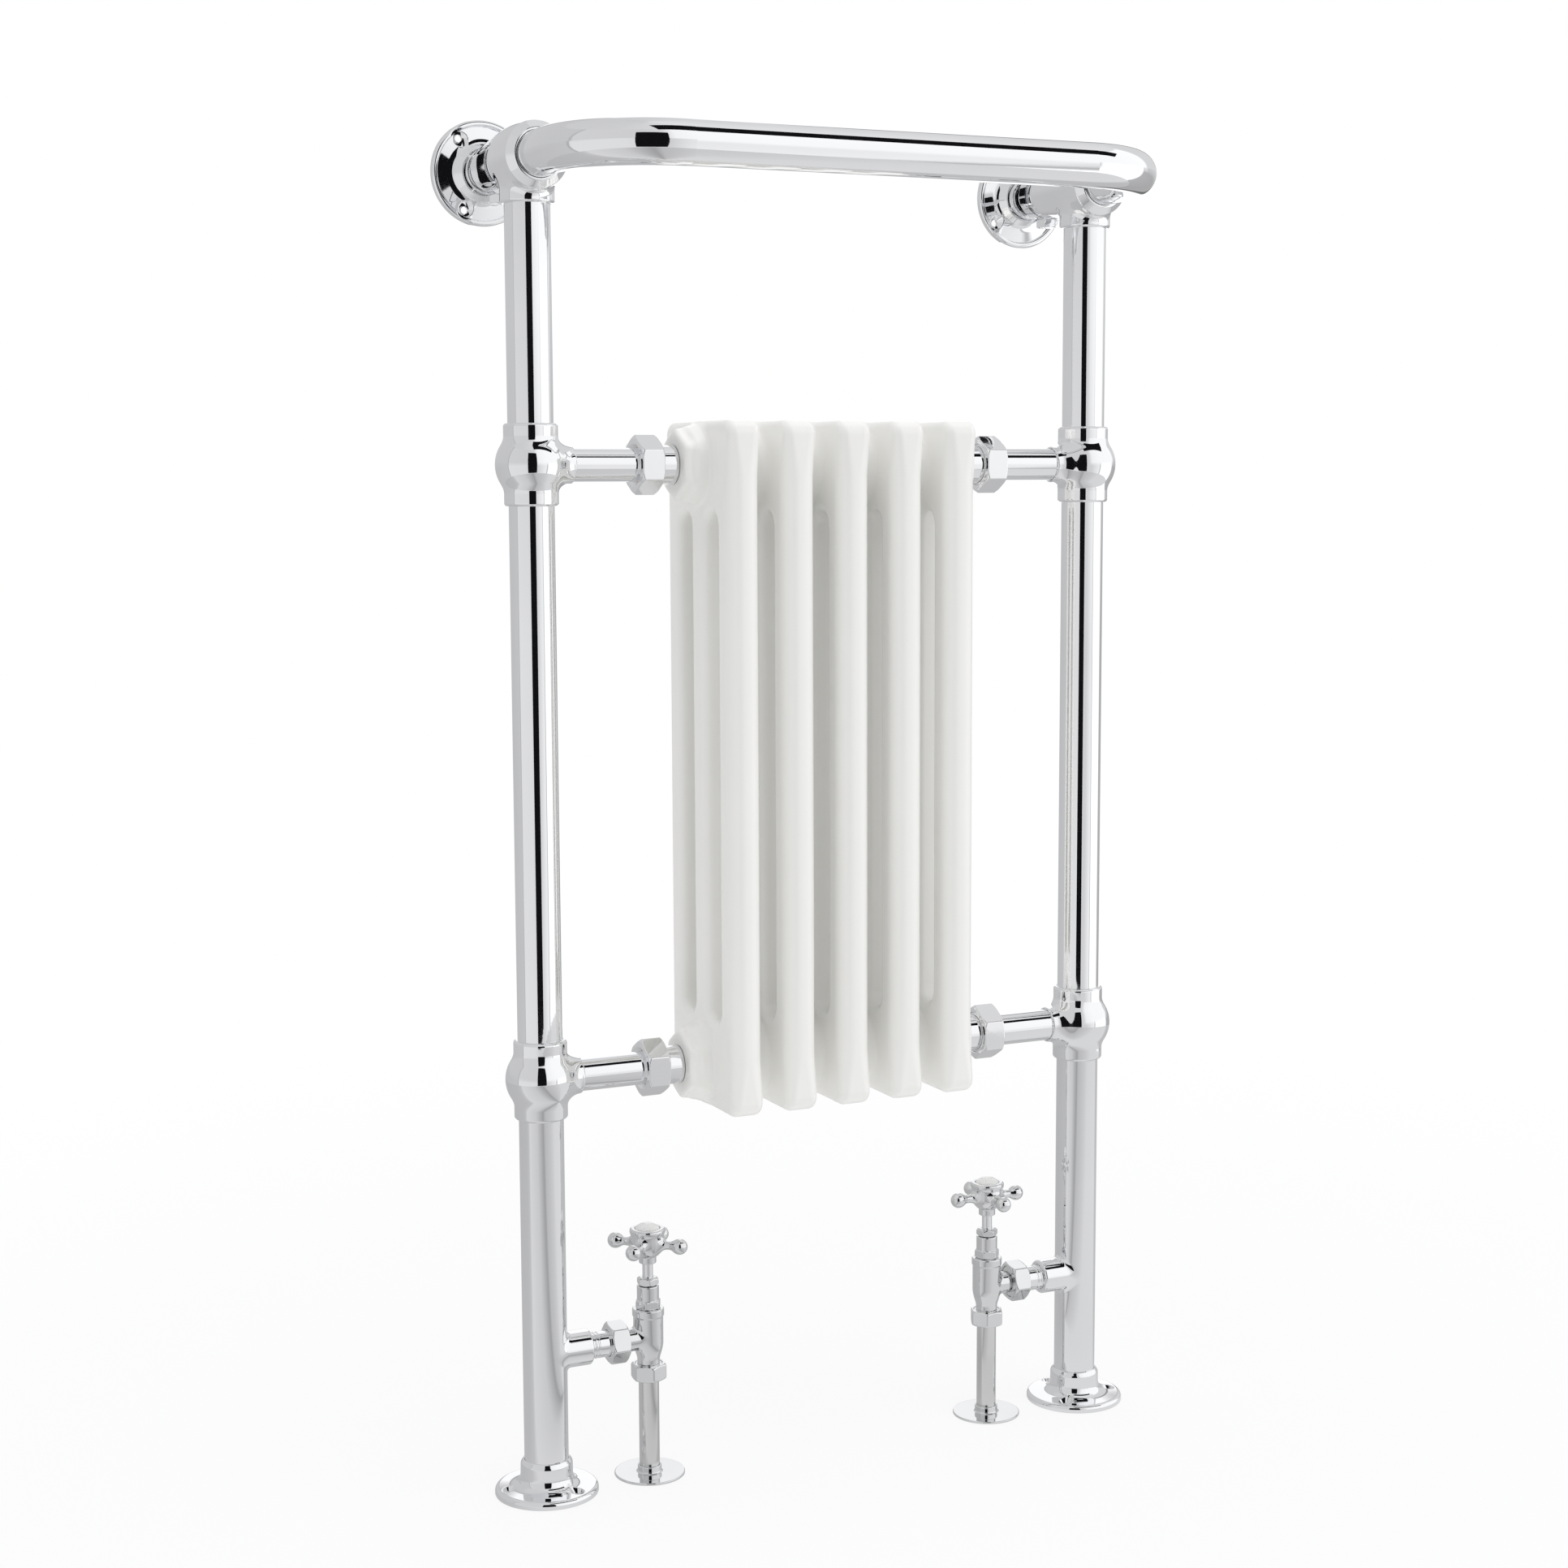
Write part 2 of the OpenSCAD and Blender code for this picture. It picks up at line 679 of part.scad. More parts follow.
module valve_union_nuts() {
  color(chrome) for (side = [left, right])
    at_valve(side) translate([-union_start, 0, valve_z]) rotate([0, -90, 0]) rotate([0, 0, 20])
      difference() {
        hex_blank(union_flats, union_len, 2);
        translate([0, 0, -1])
          cylinder(r = branch_collar_r + 0.05, h = branch_seat + 4 - union_start);
        cylinder(r = valve_tail_r + 0.15, h = 20);
        translate([0, 0, -eps]) cylinder(r1 = 13, r2 = branch_collar_r, h = 1.2);
      }
}

module compression_nuts() {
  color(chrome) for (side = [left, right])
    at_valve(side) translate([0, 0, comp_bottom]) rotate([0, 0, side == left ? 25 : 55])
      difference() {
        hex_blank(comp_flats, comp_top - comp_bottom, 1.8);
        translate([0, 0, -1]) cylinder(r = pipe_r + 0.1, h = 20);
        translate([0, 0, 2.5]) cylinder(r = 9.95, h = 20);
      }
}

module compression_olives() {
  color(brass) for (side = [left, right])
    at_valve(side) translate([0, 0, comp_bottom + 2.6]) rotate_extrude()
      polygon([[pipe_r + fit, 0], [pipe_r + 1, 0], [pipe_r + 1.8, 1.1], [pipe_r + 1, 2.3],
               [pipe_r + fit, 2.3]]);
}

module supply_pipe(side) {
  color(steel) at_valve(side) tube(pipe_r, pipe_top - 0.5, 0.7);
}

// Loose cover plate on the floor around the pipe
module floor_plate(side) {
  bore = pipe_r + 0.08;
  color(chrome) at_valve(side) rotate_extrude()
    polygon([[bore, 0], [plate_d / 2 - 0.4, 0], [plate_d / 2, 0.5], [plate_d / 2 - 0.5, 1.3],
             [plate_d / 2 - 4, 2.1], [14, 3.4], [11, 4.1], [9.2, 5.6], [8.7, 7], [bore, 7]]);
}

foot_flange(left, 60);  // left_foot_flange
foot_flange(right, 75);  // right_foot_flange
lower_post(left);  // left_lower_post
lower_post(right);  // right_lower_post
ball_tee(left, lower_z);  // left_lower_ball_tee
ball_tee(right, lower_z);  // right_lower_ball_tee
straight_post(left, lower_z + tee_h / 2 - socket_depth, upper_z - tee_h / 2 + socket_depth);  // left_middle_post
straight_post(right, lower_z + tee_h / 2 - socket_depth, upper_z - tee_h / 2 + socket_depth);  // right_middle_post
ball_tee(left, upper_z, vented = true);  // left_upper_ball_tee
ball_tee(right, upper_z);  // right_upper_ball_tee
straight_post(left, upper_z + tee_h / 2 - socket_depth, rail_z - corner_drop + socket_depth);  // left_upper_post
straight_post(right, upper_z + tee_h / 2 - socket_depth, rail_z - corner_drop + socket_depth);  // right_upper_post
corner_tee(left);  // left_corner_tee
corner_tee(right);  // right_corner_tee
top_rail();
wall_flange(left, 4);  // left_wall_flange
wall_flange(right, 100);  // right_wall_flange
bracket_lock_bolts();
cross_tube(left, lower_z);  // lower_left_cross_tube
cross_tube(right, lower_z);  // lower_right_cross_tube
cross_tube(left, upper_z);  // upper_left_cross_tube
cross_tube(right, upper_z);  // upper_right_cross_tube
union_olives();
union_nuts();
radiator_tails();
radiator_bushes();
bush_gaskets();
radiator_section(1);  // radiator_section_1
radiator_section(2);  // radiator_section_2
radiator_section(3);  // radiator_section_3
radiator_section(4);  // radiator_section_4
radiator_section(5);  // radiator_section_5
section_nipples();
section_gaskets();
air_vent_plug();
air_vent_screw();
valve_body(left);  // left_valve_body
valve_body(right);  // right_valve_body
valve_bonnets();
gland_nuts();
gland_packings();
spindle(left);  // left_spindle
spindle(right);  // right_spindle
jumper(left);  // left_jumper
jumper(right);  // right_jumper
handle(left, left_handle_turn);  // left_handle
handle(right, right_handle_turn);  // right_handle
handle_cap(left);  // left_handle_cap
handle_cap(right);  // right_handle_cap
handle_screw(left);  // left_handle_screw
handle_screw(right);  // right_handle_screw
valve_tails();
valve_union_nuts();
compression_nuts();
compression_olives();
supply_pipe(left);  // left_supply_pipe
supply_pipe(right);  // right_supply_pipe
floor_plate(left);  // left_floor_plate
floor_plate(right);  // right_floor_plate
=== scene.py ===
import json
import math

import bpy
import numpy as np
from mathutils import Matrix, Vector


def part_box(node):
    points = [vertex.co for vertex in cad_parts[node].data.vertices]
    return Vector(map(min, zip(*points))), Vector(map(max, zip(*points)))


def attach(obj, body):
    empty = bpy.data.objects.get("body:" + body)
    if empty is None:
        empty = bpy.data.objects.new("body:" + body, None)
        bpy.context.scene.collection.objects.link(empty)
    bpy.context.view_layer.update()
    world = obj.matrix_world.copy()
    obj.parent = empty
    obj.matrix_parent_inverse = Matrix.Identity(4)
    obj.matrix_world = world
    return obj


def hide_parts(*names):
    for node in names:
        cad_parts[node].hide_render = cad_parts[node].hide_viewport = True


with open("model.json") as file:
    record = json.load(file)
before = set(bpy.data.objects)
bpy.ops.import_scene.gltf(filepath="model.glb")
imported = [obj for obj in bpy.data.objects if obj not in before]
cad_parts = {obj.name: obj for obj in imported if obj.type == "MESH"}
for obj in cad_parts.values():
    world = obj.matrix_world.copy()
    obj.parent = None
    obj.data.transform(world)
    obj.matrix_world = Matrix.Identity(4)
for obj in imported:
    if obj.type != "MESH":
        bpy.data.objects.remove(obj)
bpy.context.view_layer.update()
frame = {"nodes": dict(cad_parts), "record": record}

# The looks of a heated towel rail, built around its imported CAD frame. Cast and painted
# pieces are distance fields in millimetres, skinned into meshes with exact normals.

MM = 0.001
LEFT, RIGHT = -1, 1


# ---------------------------------------------------------------- places from the frame

def low(node):
    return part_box(node)[0] / MM


def high(node):
    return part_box(node)[1] / MM


def middle(node):
    return (low(node) + high(node)) / 2


POST_X = middle("right_middle_post").x
POST_Y = middle("right_middle_post").y
TUBE_R = (high("right_middle_post").x - low("right_middle_post").x) / 2
UPPER_Z = middle("upper_left_cross_tube").z
LOWER_Z = middle("lower_left_cross_tube").z
CROSS_R = high("upper_left_cross_tube").z - UPPER_Z
RAIL_Z = middle("top_rail").z
WALL_Y = high("left_wall_flange").y
VALVE_X = middle("right_supply_pipe").x
PIPE_R = (high("right_supply_pipe").x - low("right_supply_pipe").x) / 2
SECTIONS = sorted(n for n in frame["nodes"] if n.startswith("radiator_section_"))
PITCH = middle(SECTIONS[1]).x - middle(SECTIONS[0]).x
FIT = 0.03              # gap where one piece fits into another
THROUGH = 9             # how far a cutting bar reaches past the end it opens
WALL = 1.5              # thickness of the tubes
STEP = 0.7              # grid step for the castings


# ---------------------------------------------------------------- distance fields

def length(*parts):
    return np.sqrt(sum(a * a for a in parts))


def moved(p, x=0.0, y=0.0, z=0.0):
    return p[0] - x, p[1] - y, p[2] - z


def turned(p, degrees, axis=2):
    """The point as seen from a piece that is turned by so many degrees about an axis."""
    a = math.radians(degrees)
    i, j = [(1, 2), (2, 0), (0, 1)][axis]
    q = list(p)
    q[i] = p[i] * math.cos(a) + p[j] * math.sin(a)
    q[j] = p[j] * math.cos(a) - p[i] * math.sin(a)
    return tuple(q)


def blend_union(a, b, k):
    """Union with a fillet about k wide."""
    h = np.maximum(k - np.abs(a - b), 0) / k
    return np.minimum(a, b) - h * h * k / 4


def round_both(a, b, r):
    """What two forms share, its edges rounded with radius r."""
    return np.minimum(np.maximum(a, b), -r) + length(np.maximum(a + r, 0), np.maximum(b + r, 0))


def cut(a, b, r=0.3):
    """Takes b out of a."""
    return round_both(a, -b, r)


def rod(p, axis, r, start, end, edge=0.5):
    """Round bar along an axis, its end edges rounded."""
    i, j = [k for k in range(3) if k != axis]
    return round_both(length(p[i], p[j]) - r,
                      np.abs(p[axis] - (start + end) / 2) - (end - start) / 2, edge)


def cone(p, axis, r_start, r_end, start, end, edge=0.5):
    """Tapered bar along an axis."""
    i, j = [k for k in range(3) if k != axis]
    slope = (r_end - r_start) / (end - start)
    side = length(p[i], p[j]) - r_start - slope * (p[axis] - start)
    return round_both(side / math.sqrt(1 + slope * slope),
                      np.abs(p[axis] - (start + end) / 2) - (end - start) / 2, edge)


def bevelled(p, axis, r, start, end, bevel, edge=0.3):
    """Round bar along an axis with a bevel at both ends."""
    i, j = [k for k in range(3) if k != axis]
    form = rod(p, axis, r, start, end, edge)
    for inward in (p[axis] - start, end - p[axis]):
        form = round_both(form, (length(p[i], p[j]) - r + bevel - inward) * 0.707, edge)
    return form


def hexagon(p, axis, across_flats, start, end, chamfer, edge=0.6):
    """Hexagon bar along X or Z, two flats facing along Y, its corners turned off at both
    ends."""
    i, j = 1, 2 - axis
    flats = [np.abs(p[i] * math.cos(a) + p[j] * math.sin(a)) - across_flats / 2
             for a in (0, math.pi / 3, -math.pi / 3)]
    form = round_both(round_both(flats[0], flats[1], edge), flats[2], edge)
    form = round_both(form, np.abs(p[axis] - (start + end) / 2) - (end - start) / 2, edge)
    corner = across_flats / math.sqrt(3) - chamfer
    r = length(p[i], p[j]) - corner
    for inward in (p[axis] - start, end - p[axis]):
        form = round_both(form, 0.57 * r - 0.82 * inward, edge)
    return form


# ---------------------------------------------------------------- skin of a field

def from_round(about, r, angle, along):
    """X, Y, Z of a point given by radius, angle and place along an axis."""
    p = [along, along, along]
    i, j = [(1, 2), (2, 0), (0, 1)][about]
    p[i], p[j] = r * np.cos(angle), r * np.sin(angle)
    return p


def surface_net(field, axes, about=None):
    """Vertices and quads over a field's zero surface, one vertex per crossed cell. The grid
    is square, or runs round an axis, with radii, angles and places along it."""
    grid = np.meshgrid(*axes, indexing="ij", sparse=True)
    spots = grid if about is None else from_round(about, *grid)
    value = field(tuple(spots)) + np.zeros([len(a) for a in axes])
    shape = np.array(value.shape) - 1
    total, count = np.zeros([*shape, 3]), np.zeros(shape)
    quads = []
    for axis in range(3):
        once = value if about is None or axis == 1 else value[:, :-1]
        a = np.moveaxis(once, axis, 0)
        crossed = (a[1:] < 0) != (a[:-1] < 0)
        at = np.argwhere(crossed)
        start, stop = a[:-1][crossed], a[1:][crossed]
        others = [k for k in range(3) if k != axis]
        index = np.zeros((len(at), 3), int)
        index[:, [axis, *others]] = at
        point = np.stack([axes[k][index[:, k]] for k in range(3)], 1)
        step = axes[axis][index[:, axis] + 1] - axes[axis][index[:, axis]]
        point[:, axis] += start / (start - stop) * step
        if about is not None:
            point = np.stack(from_round(about, *point.T), 1)
        corners = []
        for du, dv in ((0, 0), (1, 0), (1, 1), (0, 1)):
            cell = index.copy()
            cell[:, others] -= du, dv
            np.add.at(total, tuple(cell.T), point)
            np.add.at(count, tuple(cell.T), 1)
            corners.append(cell)
        quad = np.stack(corners, 1)
        flip = (start < 0) == (axis == 1)
        quad[flip] = quad[flip][:, ::-1]
        quads.append(quad)
    used = count > 0
    number = np.full(shape, -1)
    number[used] = np.arange(used.sum())
    quads = np.concatenate(quads)
    return total[used] / count[used][:, None], number[tuple(np.moveaxis(quads, 2, 0))]


def gradient(field, points, h=0.02):
    parts = []
    for axis in range(3):
        offset = np.zeros(3)
        offset[axis] = h
        parts.append(field(tuple((points + offset).T)) - field(tuple((points - offset).T)))
    g = np.stack(parts, 1) / (2 * h)
    return g / np.maximum(np.linalg.norm(g, axis=1), 1e-9)[:, None]


def skin(field, axes, about=None):
    """Mesh arrays of a field: points on its surface, quads and the surface's own normals."""
    points, quads = surface_net(field, axes, about)
    for _ in range(3):
        points -= gradient(field, points) * np.clip(field(tuple(points.T)), -0.4, 0.4)[:, None]
    return points, quads, gradient(field, points)


def span(start, end, step):
    """Even grid lines that reach a little past both ends."""
    n = max(int(math.ceil((end - start + 4 * step) / step)), 2)
    centre = (start + end) / 2
    return centre + (np.arange(n + 1) - n / 2) * step


def around(cells):
    """Angles of a grid that runs once round an axis."""
    return np.linspace(0, 2 * math.pi, cells + 1)


def spans(*stretches):
    """Grid lines of several stretches, each (start, end, step), joined end to end."""
    lines = [np.linspace(a, b, max(int(round((b - a) / s)), 1) + 1) for a, b, s in stretches]
    return np.unique(np.concatenate(lines).round(6))


def to_mesh(name, points, quads, normals):
    mesh = bpy.data.meshes.new(name)
    mesh.vertices.add(len(points))
    mesh.vertices.foreach_set("co", points.astype(np.float32).ravel())
    mesh.loops.add(quads.size)
    mesh.loops.foreach_set("vertex_index", quads.astype(np.int32).ravel())
    mesh.polygons.add(len(quads))
    mesh.polygons.foreach_set("loop_start", np.arange(0, quads.size, 4, dtype=np.int32))
    mesh.polygons.foreach_set("use_smooth", np.ones(len(quads), bool))
    mesh.update(calc_edges=True)
    mesh.validate()
    mesh.normals_split_custom_set_from_vertices(normals.tolist())
    return mesh


def place(skins, side=LEFT, x=0.0, y=0.0, z=0.0, turn=0.0):
    """Skin arrays in metres at a place. The right-hand side is the mirror image, with +X
    of the piece towards the middle on both sides."""
    points, quads, normals = (a.copy() for a in skins)
    a = math.radians(turn)
    spin = np.array([[math.cos(a), -math.sin(a), 0], [math.sin(a), math.cos(a), 0], [0, 0, 1]])
    points, normals = points @ spin.T, normals @ spin.T
    if side == RIGHT:
        points[:, 0] *= -1
        normals[:, 0] *= -1
        quads = quads[:, ::-1]
    return (points + np.array([x, y, z])) * MM, quads, normals


def piece(name, skins, nodes, body, material):
    """Makes one piece of the object from placed skin arrays."""
    obj = bpy.data.objects.new(name, to_mesh(name, *skins))
    bpy.context.scene.collection.objects.link(obj)
    obj.data.materials.append(material)
    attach(obj, body)
    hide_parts(*nodes)
    return obj


# ---------------------------------------------------------------- materials

def new_material(name):
    material = bpy.data.materials.new(name)
    material.use_nodes = True
    tree = material.node_tree
    return material, tree, tree.nodes["Principled BSDF"]


def noise(tree, scale, detail):
    """Noise over the piece's own coordinates; scale counts waves in a metre."""
    coordinates = tree.nodes.new("ShaderNodeTexCoord")
    texture = tree.nodes.new("ShaderNodeTexNoise")
    texture.inputs["Scale"].default_value = scale
    texture.inputs["Detail"].default_value = detail
    tree.links.new(coordinates.outputs["Object"], texture.inputs["Vector"])
    return texture.outputs["Fac"]


def spread(tree, value, start, end):
    """Maps the middle of a noise to the range from start to end."""
    node = tree.nodes.new("ShaderNodeMapRange")
    node.inputs["From Min"].default_value = 0.3
    node.inputs["From Max"].default_value = 0.7
    node.inputs["To Min"].default_value = start
    node.inputs["To Max"].default_value = end
    tree.links.new(value, node.inputs["Value"])
    return node.outputs["Result"]


def two_colours(tree, value, first, second):
    node = tree.nodes.new("ShaderNodeMix")
    node.data_type = "RGBA"
    node.inputs["A"].default_value = (*first, 1)
    node.inputs["B"].default_value = (*second, 1)
    tree.links.new(value, node.inputs["Factor"])
    return node.outputs["Result"]


def bump(tree, height, distance):
    node = tree.nodes.new("ShaderNodeBump")
    node.inputs["Distance"].default_value = distance
    tree.links.new(height, node.inputs["Height"])
    return node.outputs["Normal"]


def plated(name, bright, dull, rough_low, rough_high, wave=0.00001):
    """Polished plate: faint haze and cleaning marks, and the slight waves of buffed metal."""
    material, tree, shader = new_material(name)
    haze = spread(tree, noise(tree, 9, 4), 0, 1)
    tree.links.new(two_colours(tree, haze, bright, dull), shader.inputs["Base Color"])
    marks = spread(tree, noise(tree, 55, 6), rough_low, rough_high)
    tree.links.new(marks, shader.inputs["Roughness"])
    tree.links.new(bump(tree, noise(tree, 120, 2), wave), shader.inputs["Normal"])
    shader.inputs["Metallic"].default_value = 1.0
    return material


def enamel(name, light, shade, orange_peel):
    """Powder coat: satin gloss, a fine orange peel and painted shading of soft waves in the sheet.
    """
    material, tree, shader = new_material(name)
    # Painted light and shade: the base colour drifts at random between a lit and a shaded white,
    # standing in for how soft waves in the sheet catch the light.
    tone = spread(tree, noise(tree, 14, 2), 0, 1)
    tree.links.new(two_colours(tree, tone, light, shade), shader.inputs["Base Color"])
    tree.links.new(spread(tree, noise(tree, 70, 0), 0.30, 0.36), shader.inputs["Roughness"])
    tree.links.new(bump(tree, noise(tree, 180, 0), orange_peel), shader.inputs["Normal"])
    shader.inputs["Coat Weight"].default_value = 0.35
    shader.inputs["Coat Roughness"].default_value = 0.12
    return material


def glazed(name):
    """Glazed disc: clear gloss over a faintly mottled body."""
    material, tree, shader = new_material(name)
    tone = spread(tree, noise(tree, 60, 1), 0, 1)
    tree.links.new(two_colours(tree, tone, (0.86, 0.86, 0.845), (0.83, 0.83, 0.81)),
                   shader.inputs["Base Color"])
    tree.links.new(spread(tree, noise(tree, 200, 3), 0.08, 0.16), shader.inputs["Roughness"])
    tree.links.new(bump(tree, noise(tree, 150, 0), 0.000004), shader.inputs["Normal"])
    shader.inputs["Coat Weight"].default_value = 0.8
    shader.inputs["Coat Roughness"].default_value = 0.04
    return material


def machined(name, bright, dull, rough):
    """Turned metal with fine tool marks round it."""
    material, tree, shader = new_material(name)
    stain = spread(tree, noise(tree, 60, 4), 0, 1)
    tree.links.new(two_colours(tree, stain, bright, dull), shader.inputs["Base Color"])
    tree.links.new(spread(tree, noise(tree, 300, 5), rough, rough + 0.12),
                   shader.inputs["Roughness"])
    tree.links.new(bump(tree, noise(tree, 2500, 1), 0.00002), shader.inputs["Normal"])
    shader.inputs["Metallic"].default_value = 1.0
    return material


def rubber(name):
    """Black sealing rubber with a dusty bloom."""
    material, tree, shader = new_material(name)
    bloom = spread(tree, noise(tree, 150, 5), 0, 1)
    tree.links.new(two_colours(tree, bloom, (0.012, 0.012, 0.013), (0.03, 0.03, 0.03)),
                   shader.inputs["Base Color"])
    tree.links.new(spread(tree, noise(tree, 400, 3), 0.45, 0.65), shader.inputs["Roughness"])
    tree.links.new(bump(tree, noise(tree, 1200, 2), 0.00004), shader.inputs["Normal"])
    return material


MATERIALS = {
    "chrome_plate": plated("chrome_plate", (0.90, 0.905, 0.915), (0.86, 0.865, 0.875),
                           0.018, 0.045),
    "valve_plate": plated("valve_plate", (0.80, 0.805, 0.81), (0.72, 0.725, 0.73), 0.018, 0.04),
    "plated_pipe": plated("plated_pipe", (0.80, 0.80, 0.795), (0.66, 0.66, 0.655), 0.07, 0.13,
                          0.00002),
    "white_enamel": enamel("white_enamel", (0.94, 0.937, 0.910), (0.93, 0.926, 0.897), 0.00003),
    "glazed_cap": glazed("glazed_cap"),
    "bare_brass": machined("bare_brass", (0.80, 0.62, 0.30), (0.66, 0.48, 0.22), 0.22),
    "zinc_steel": machined("zinc_steel", (0.62, 0.63, 0.65), (0.5, 0.51, 0.52), 0.28),
    "gasket_rubber": rubber("gasket_rubber"),
}


def dress_cad_nodes():
    """Every CAD node that is carried over gets its slot's finish."""
    for row in frame["record"]["subparts"]:
        mesh = frame["nodes"][row["node"]].data
        mesh.materials.clear()
        mesh.materials.append(MATERIALS[row["material_slot"]])


# ---------------------------------------------------------------- frame fittings

TEE_HALF = (high("left_lower_ball_tee").z - low("left_lower_ball_tee").z) / 2
BALL_R = high("right_lower_ball_tee").x - POST_X
SOCKET_R = 19.0
SOCKET_DEPTH = 12.0
VENT_R = 6.2
CROSS_START = 18        # where a cross tube ends inside a ball tee
STUB_END = POST_X - low("right_lower_ball_tee").x
STUB_R = 13.5


def ball_tee(p, vented=False):
    """Ball with a socket above and below it and a stub towards the radiator."""
    sockets = bevelled(p, 2, SOCKET_R, -TEE_HALF, TEE_HALF, 1.3)
    form = blend_union(length(*p) - BALL_R, sockets, 2.5)
    form = blend_union(form, bevelled(p, 0, STUB_R, 0, STUB_END, 0.9), 7)
    if vented:
        form = blend_union(form, rod(p, 1, 10, 0, BALL_R, 0.6), 1.5)
        form = cut(form, rod(p, 1, VENT_R + FIT, 0, BALL_R + THROUGH))
    bore = rod(p, 2, TUBE_R - WALL, -TEE_HALF - THROUGH, TEE_HALF + THROUGH)
    for s in (-1, 1):
        socket = moved(p, z=s * (TEE_HALF + 5))
        reach = SOCKET_DEPTH + 5
        bore = np.minimum(bore, rod(socket, 2, TUBE_R + FIT, -reach, reach, 0.1))
    bore = np.minimum(bore, rod(p, 0, CROSS_R - WALL, 0, STUB_END + THROUGH))
    bore = np.minimum(bore, rod(p, 0, CROSS_R + FIT, CROSS_START, STUB_END + THROUGH, 0.1))
    return cut(form, bore, 0.35)


def make_ball_tees():
    axes = (span(TUBE_R - WALL, math.hypot(STUB_END, STUB_R), STEP), around(216),
            span(-TEE_HALF, TEE_HALF, STEP))
    plain = skin(ball_tee, axes, about=2)
    vented = skin(lambda p: ball_tee(p, vented=True), axes, about=2)
    for side, word in ((LEFT, "left"), (RIGHT, "right")):
        for level, z in (("lower", LOWER_Z), ("upper", UPPER_Z)):
            node = f"{word}_{level}_ball_tee"
            form = vented if (word, level) == ("left", "upper") else plain
            piece(node + "_cast", place(form, side, side * POST_X, POST_Y, z), [node], "frame",
                  MATERIALS["chrome_plate"])


CORNER_FRONT = POST_Y - low("left_corner_tee").y
CORNER_BACK = high("left_corner_tee").y - POST_Y
CORNER_DROP = RAIL_Z - low("left_corner_tee").z
CORNER_TOP = high("left_corner_tee").z - RAIL_Z
BOLT_Y = middle("bracket_lock_bolts").y - POST_Y
BOLT_HEAD = 6.0
BOLT_R = 4
BOLT_SEAT_R = 7
BOLT_SEAT = RAIL_Z - low("bracket_lock_bolts").z - BOLT_HEAD
SPIGOT_R = 12.0
SPIGOT_BORE_R = 4


def past(t, start):
    """How far t is past a start, turning the corner softly."""
    return (t - start + length(t - start, 12.0)) / 2


def corner_tee(p):
    """Takes the post from below, the rail in front and the wall spigot behind."""
    r = length(p[0], p[2])
    barrel = (r - CORNER_TOP - 0.7 + 0.105 * (past(-p[1], 8) + past(p[1], 2))) * 0.99
    form = round_both(barrel, np.abs(p[1] - (CORNER_BACK - CORNER_FRONT) / 2)
                      - (CORNER_BACK + CORNER_FRONT) / 2, 1.2)
    form = round_both(form, (r - TUBE_R - 1.6 - p[1] - CORNER_FRONT) * 0.707, 0.5)
    form = blend_union(form, bevelled(p, 2, SOCKET_R, -CORNER_DROP, 0, 1.3), 5)
    seat = moved(p, y=BOLT_Y)
    form = blend_union(form, rod(seat, 2, BOLT_SEAT_R, -BOLT_SEAT, 0, 0.8), 1.5)
    bore = rod(p, 1, TUBE_R + FIT, -CORNER_FRONT - THROUGH, -CORNER_FRONT + 15, 0.1)
    bore = np.minimum(bore, rod(p, 1, SPIGOT_R + FIT, -CORNER_FRONT, CORNER_BACK + THROUGH))
    post = rod(p, 2, TUBE_R + FIT, -CORNER_DROP - THROUGH, -CORNER_DROP + 13, 0.1)
    bore = np.minimum(bore, post)
    bore = np.minimum(bore, rod(p, 2, TUBE_R - 2, -CORNER_DROP, 0))
    bore = np.minimum(bore, rod(seat, 2, BOLT_R + FIT, -30, 0))
    return cut(form, bore, 0.35)


def make_corner_tees():
    axes = (span(SPIGOT_R, math.hypot(CORNER_DROP, SOCKET_R), STEP), around(240),
            span(-CORNER_FRONT, CORNER_BACK, STEP))
    form = skin(corner_tee, axes, about=1)
    for side, word in ((LEFT, "left"), (RIGHT, "right")):
        piece(word + "_corner_cast", place(form, side, side * POST_X, POST_Y, RAIL_Z),
              [word + "_corner_tee"], "frame", MATERIALS["chrome_plate"])


FLANGE_R = (high("left_foot_flange").x - low("left_foot_flange").x) / 2
SCREW_CIRCLE_R = 29.0
SCREW_R = 2.5
FOOT_BORE_R = 12.5


def screw_holes(p, turn, top):
    """Three countersunk holes down through a flange whose face is at height top."""
    holes = []
    for i in range(3):
        a = math.radians(turn + 120 * i)
        q = moved(p, SCREW_CIRCLE_R * math.cos(a), SCREW_CIRCLE_R * math.sin(a))
        holes.append(rod(q, 2, SCREW_R, -THROUGH, top + THROUGH))
        holes.append(cone(q, 2, SCREW_R, SCREW_R + 6, top - 2.8, top + 3.2, 0.1))
    return np.minimum.reduce(holes)


def foot_flange(p, turn):
    """Gently domed floor plate with a round rim, swept up into a bevelled collar."""
    rise = high("left_foot_flange").z
    r = length(p[0], p[1])
    plate = round_both(r - FLANGE_R, p[2] - 5.4 - (FLANGE_R - r) * 0.11, 3.0)
    collar = cone(p, 2, SOCKET_R + 0.6, SOCKET_R - 0.3, -THROUGH, rise, 0.4)
    collar = round_both(collar, (r - SOCKET_R + 2.4) * 0.832 + (p[2] - rise) * 0.555, 0.5)
    form = round_both(blend_union(plate, collar, 8), -p[2], 0.5)
    form = cut(form, screw_holes(p, turn, 6.4), 0.3)
    bore = np.minimum(rod(p, 2, TUBE_R + FIT, 3, rise + THROUGH, 0.1),
                      rod(p, 2, FOOT_BORE_R, -THROUGH, rise))
    return cut(form, bore, 0.4)


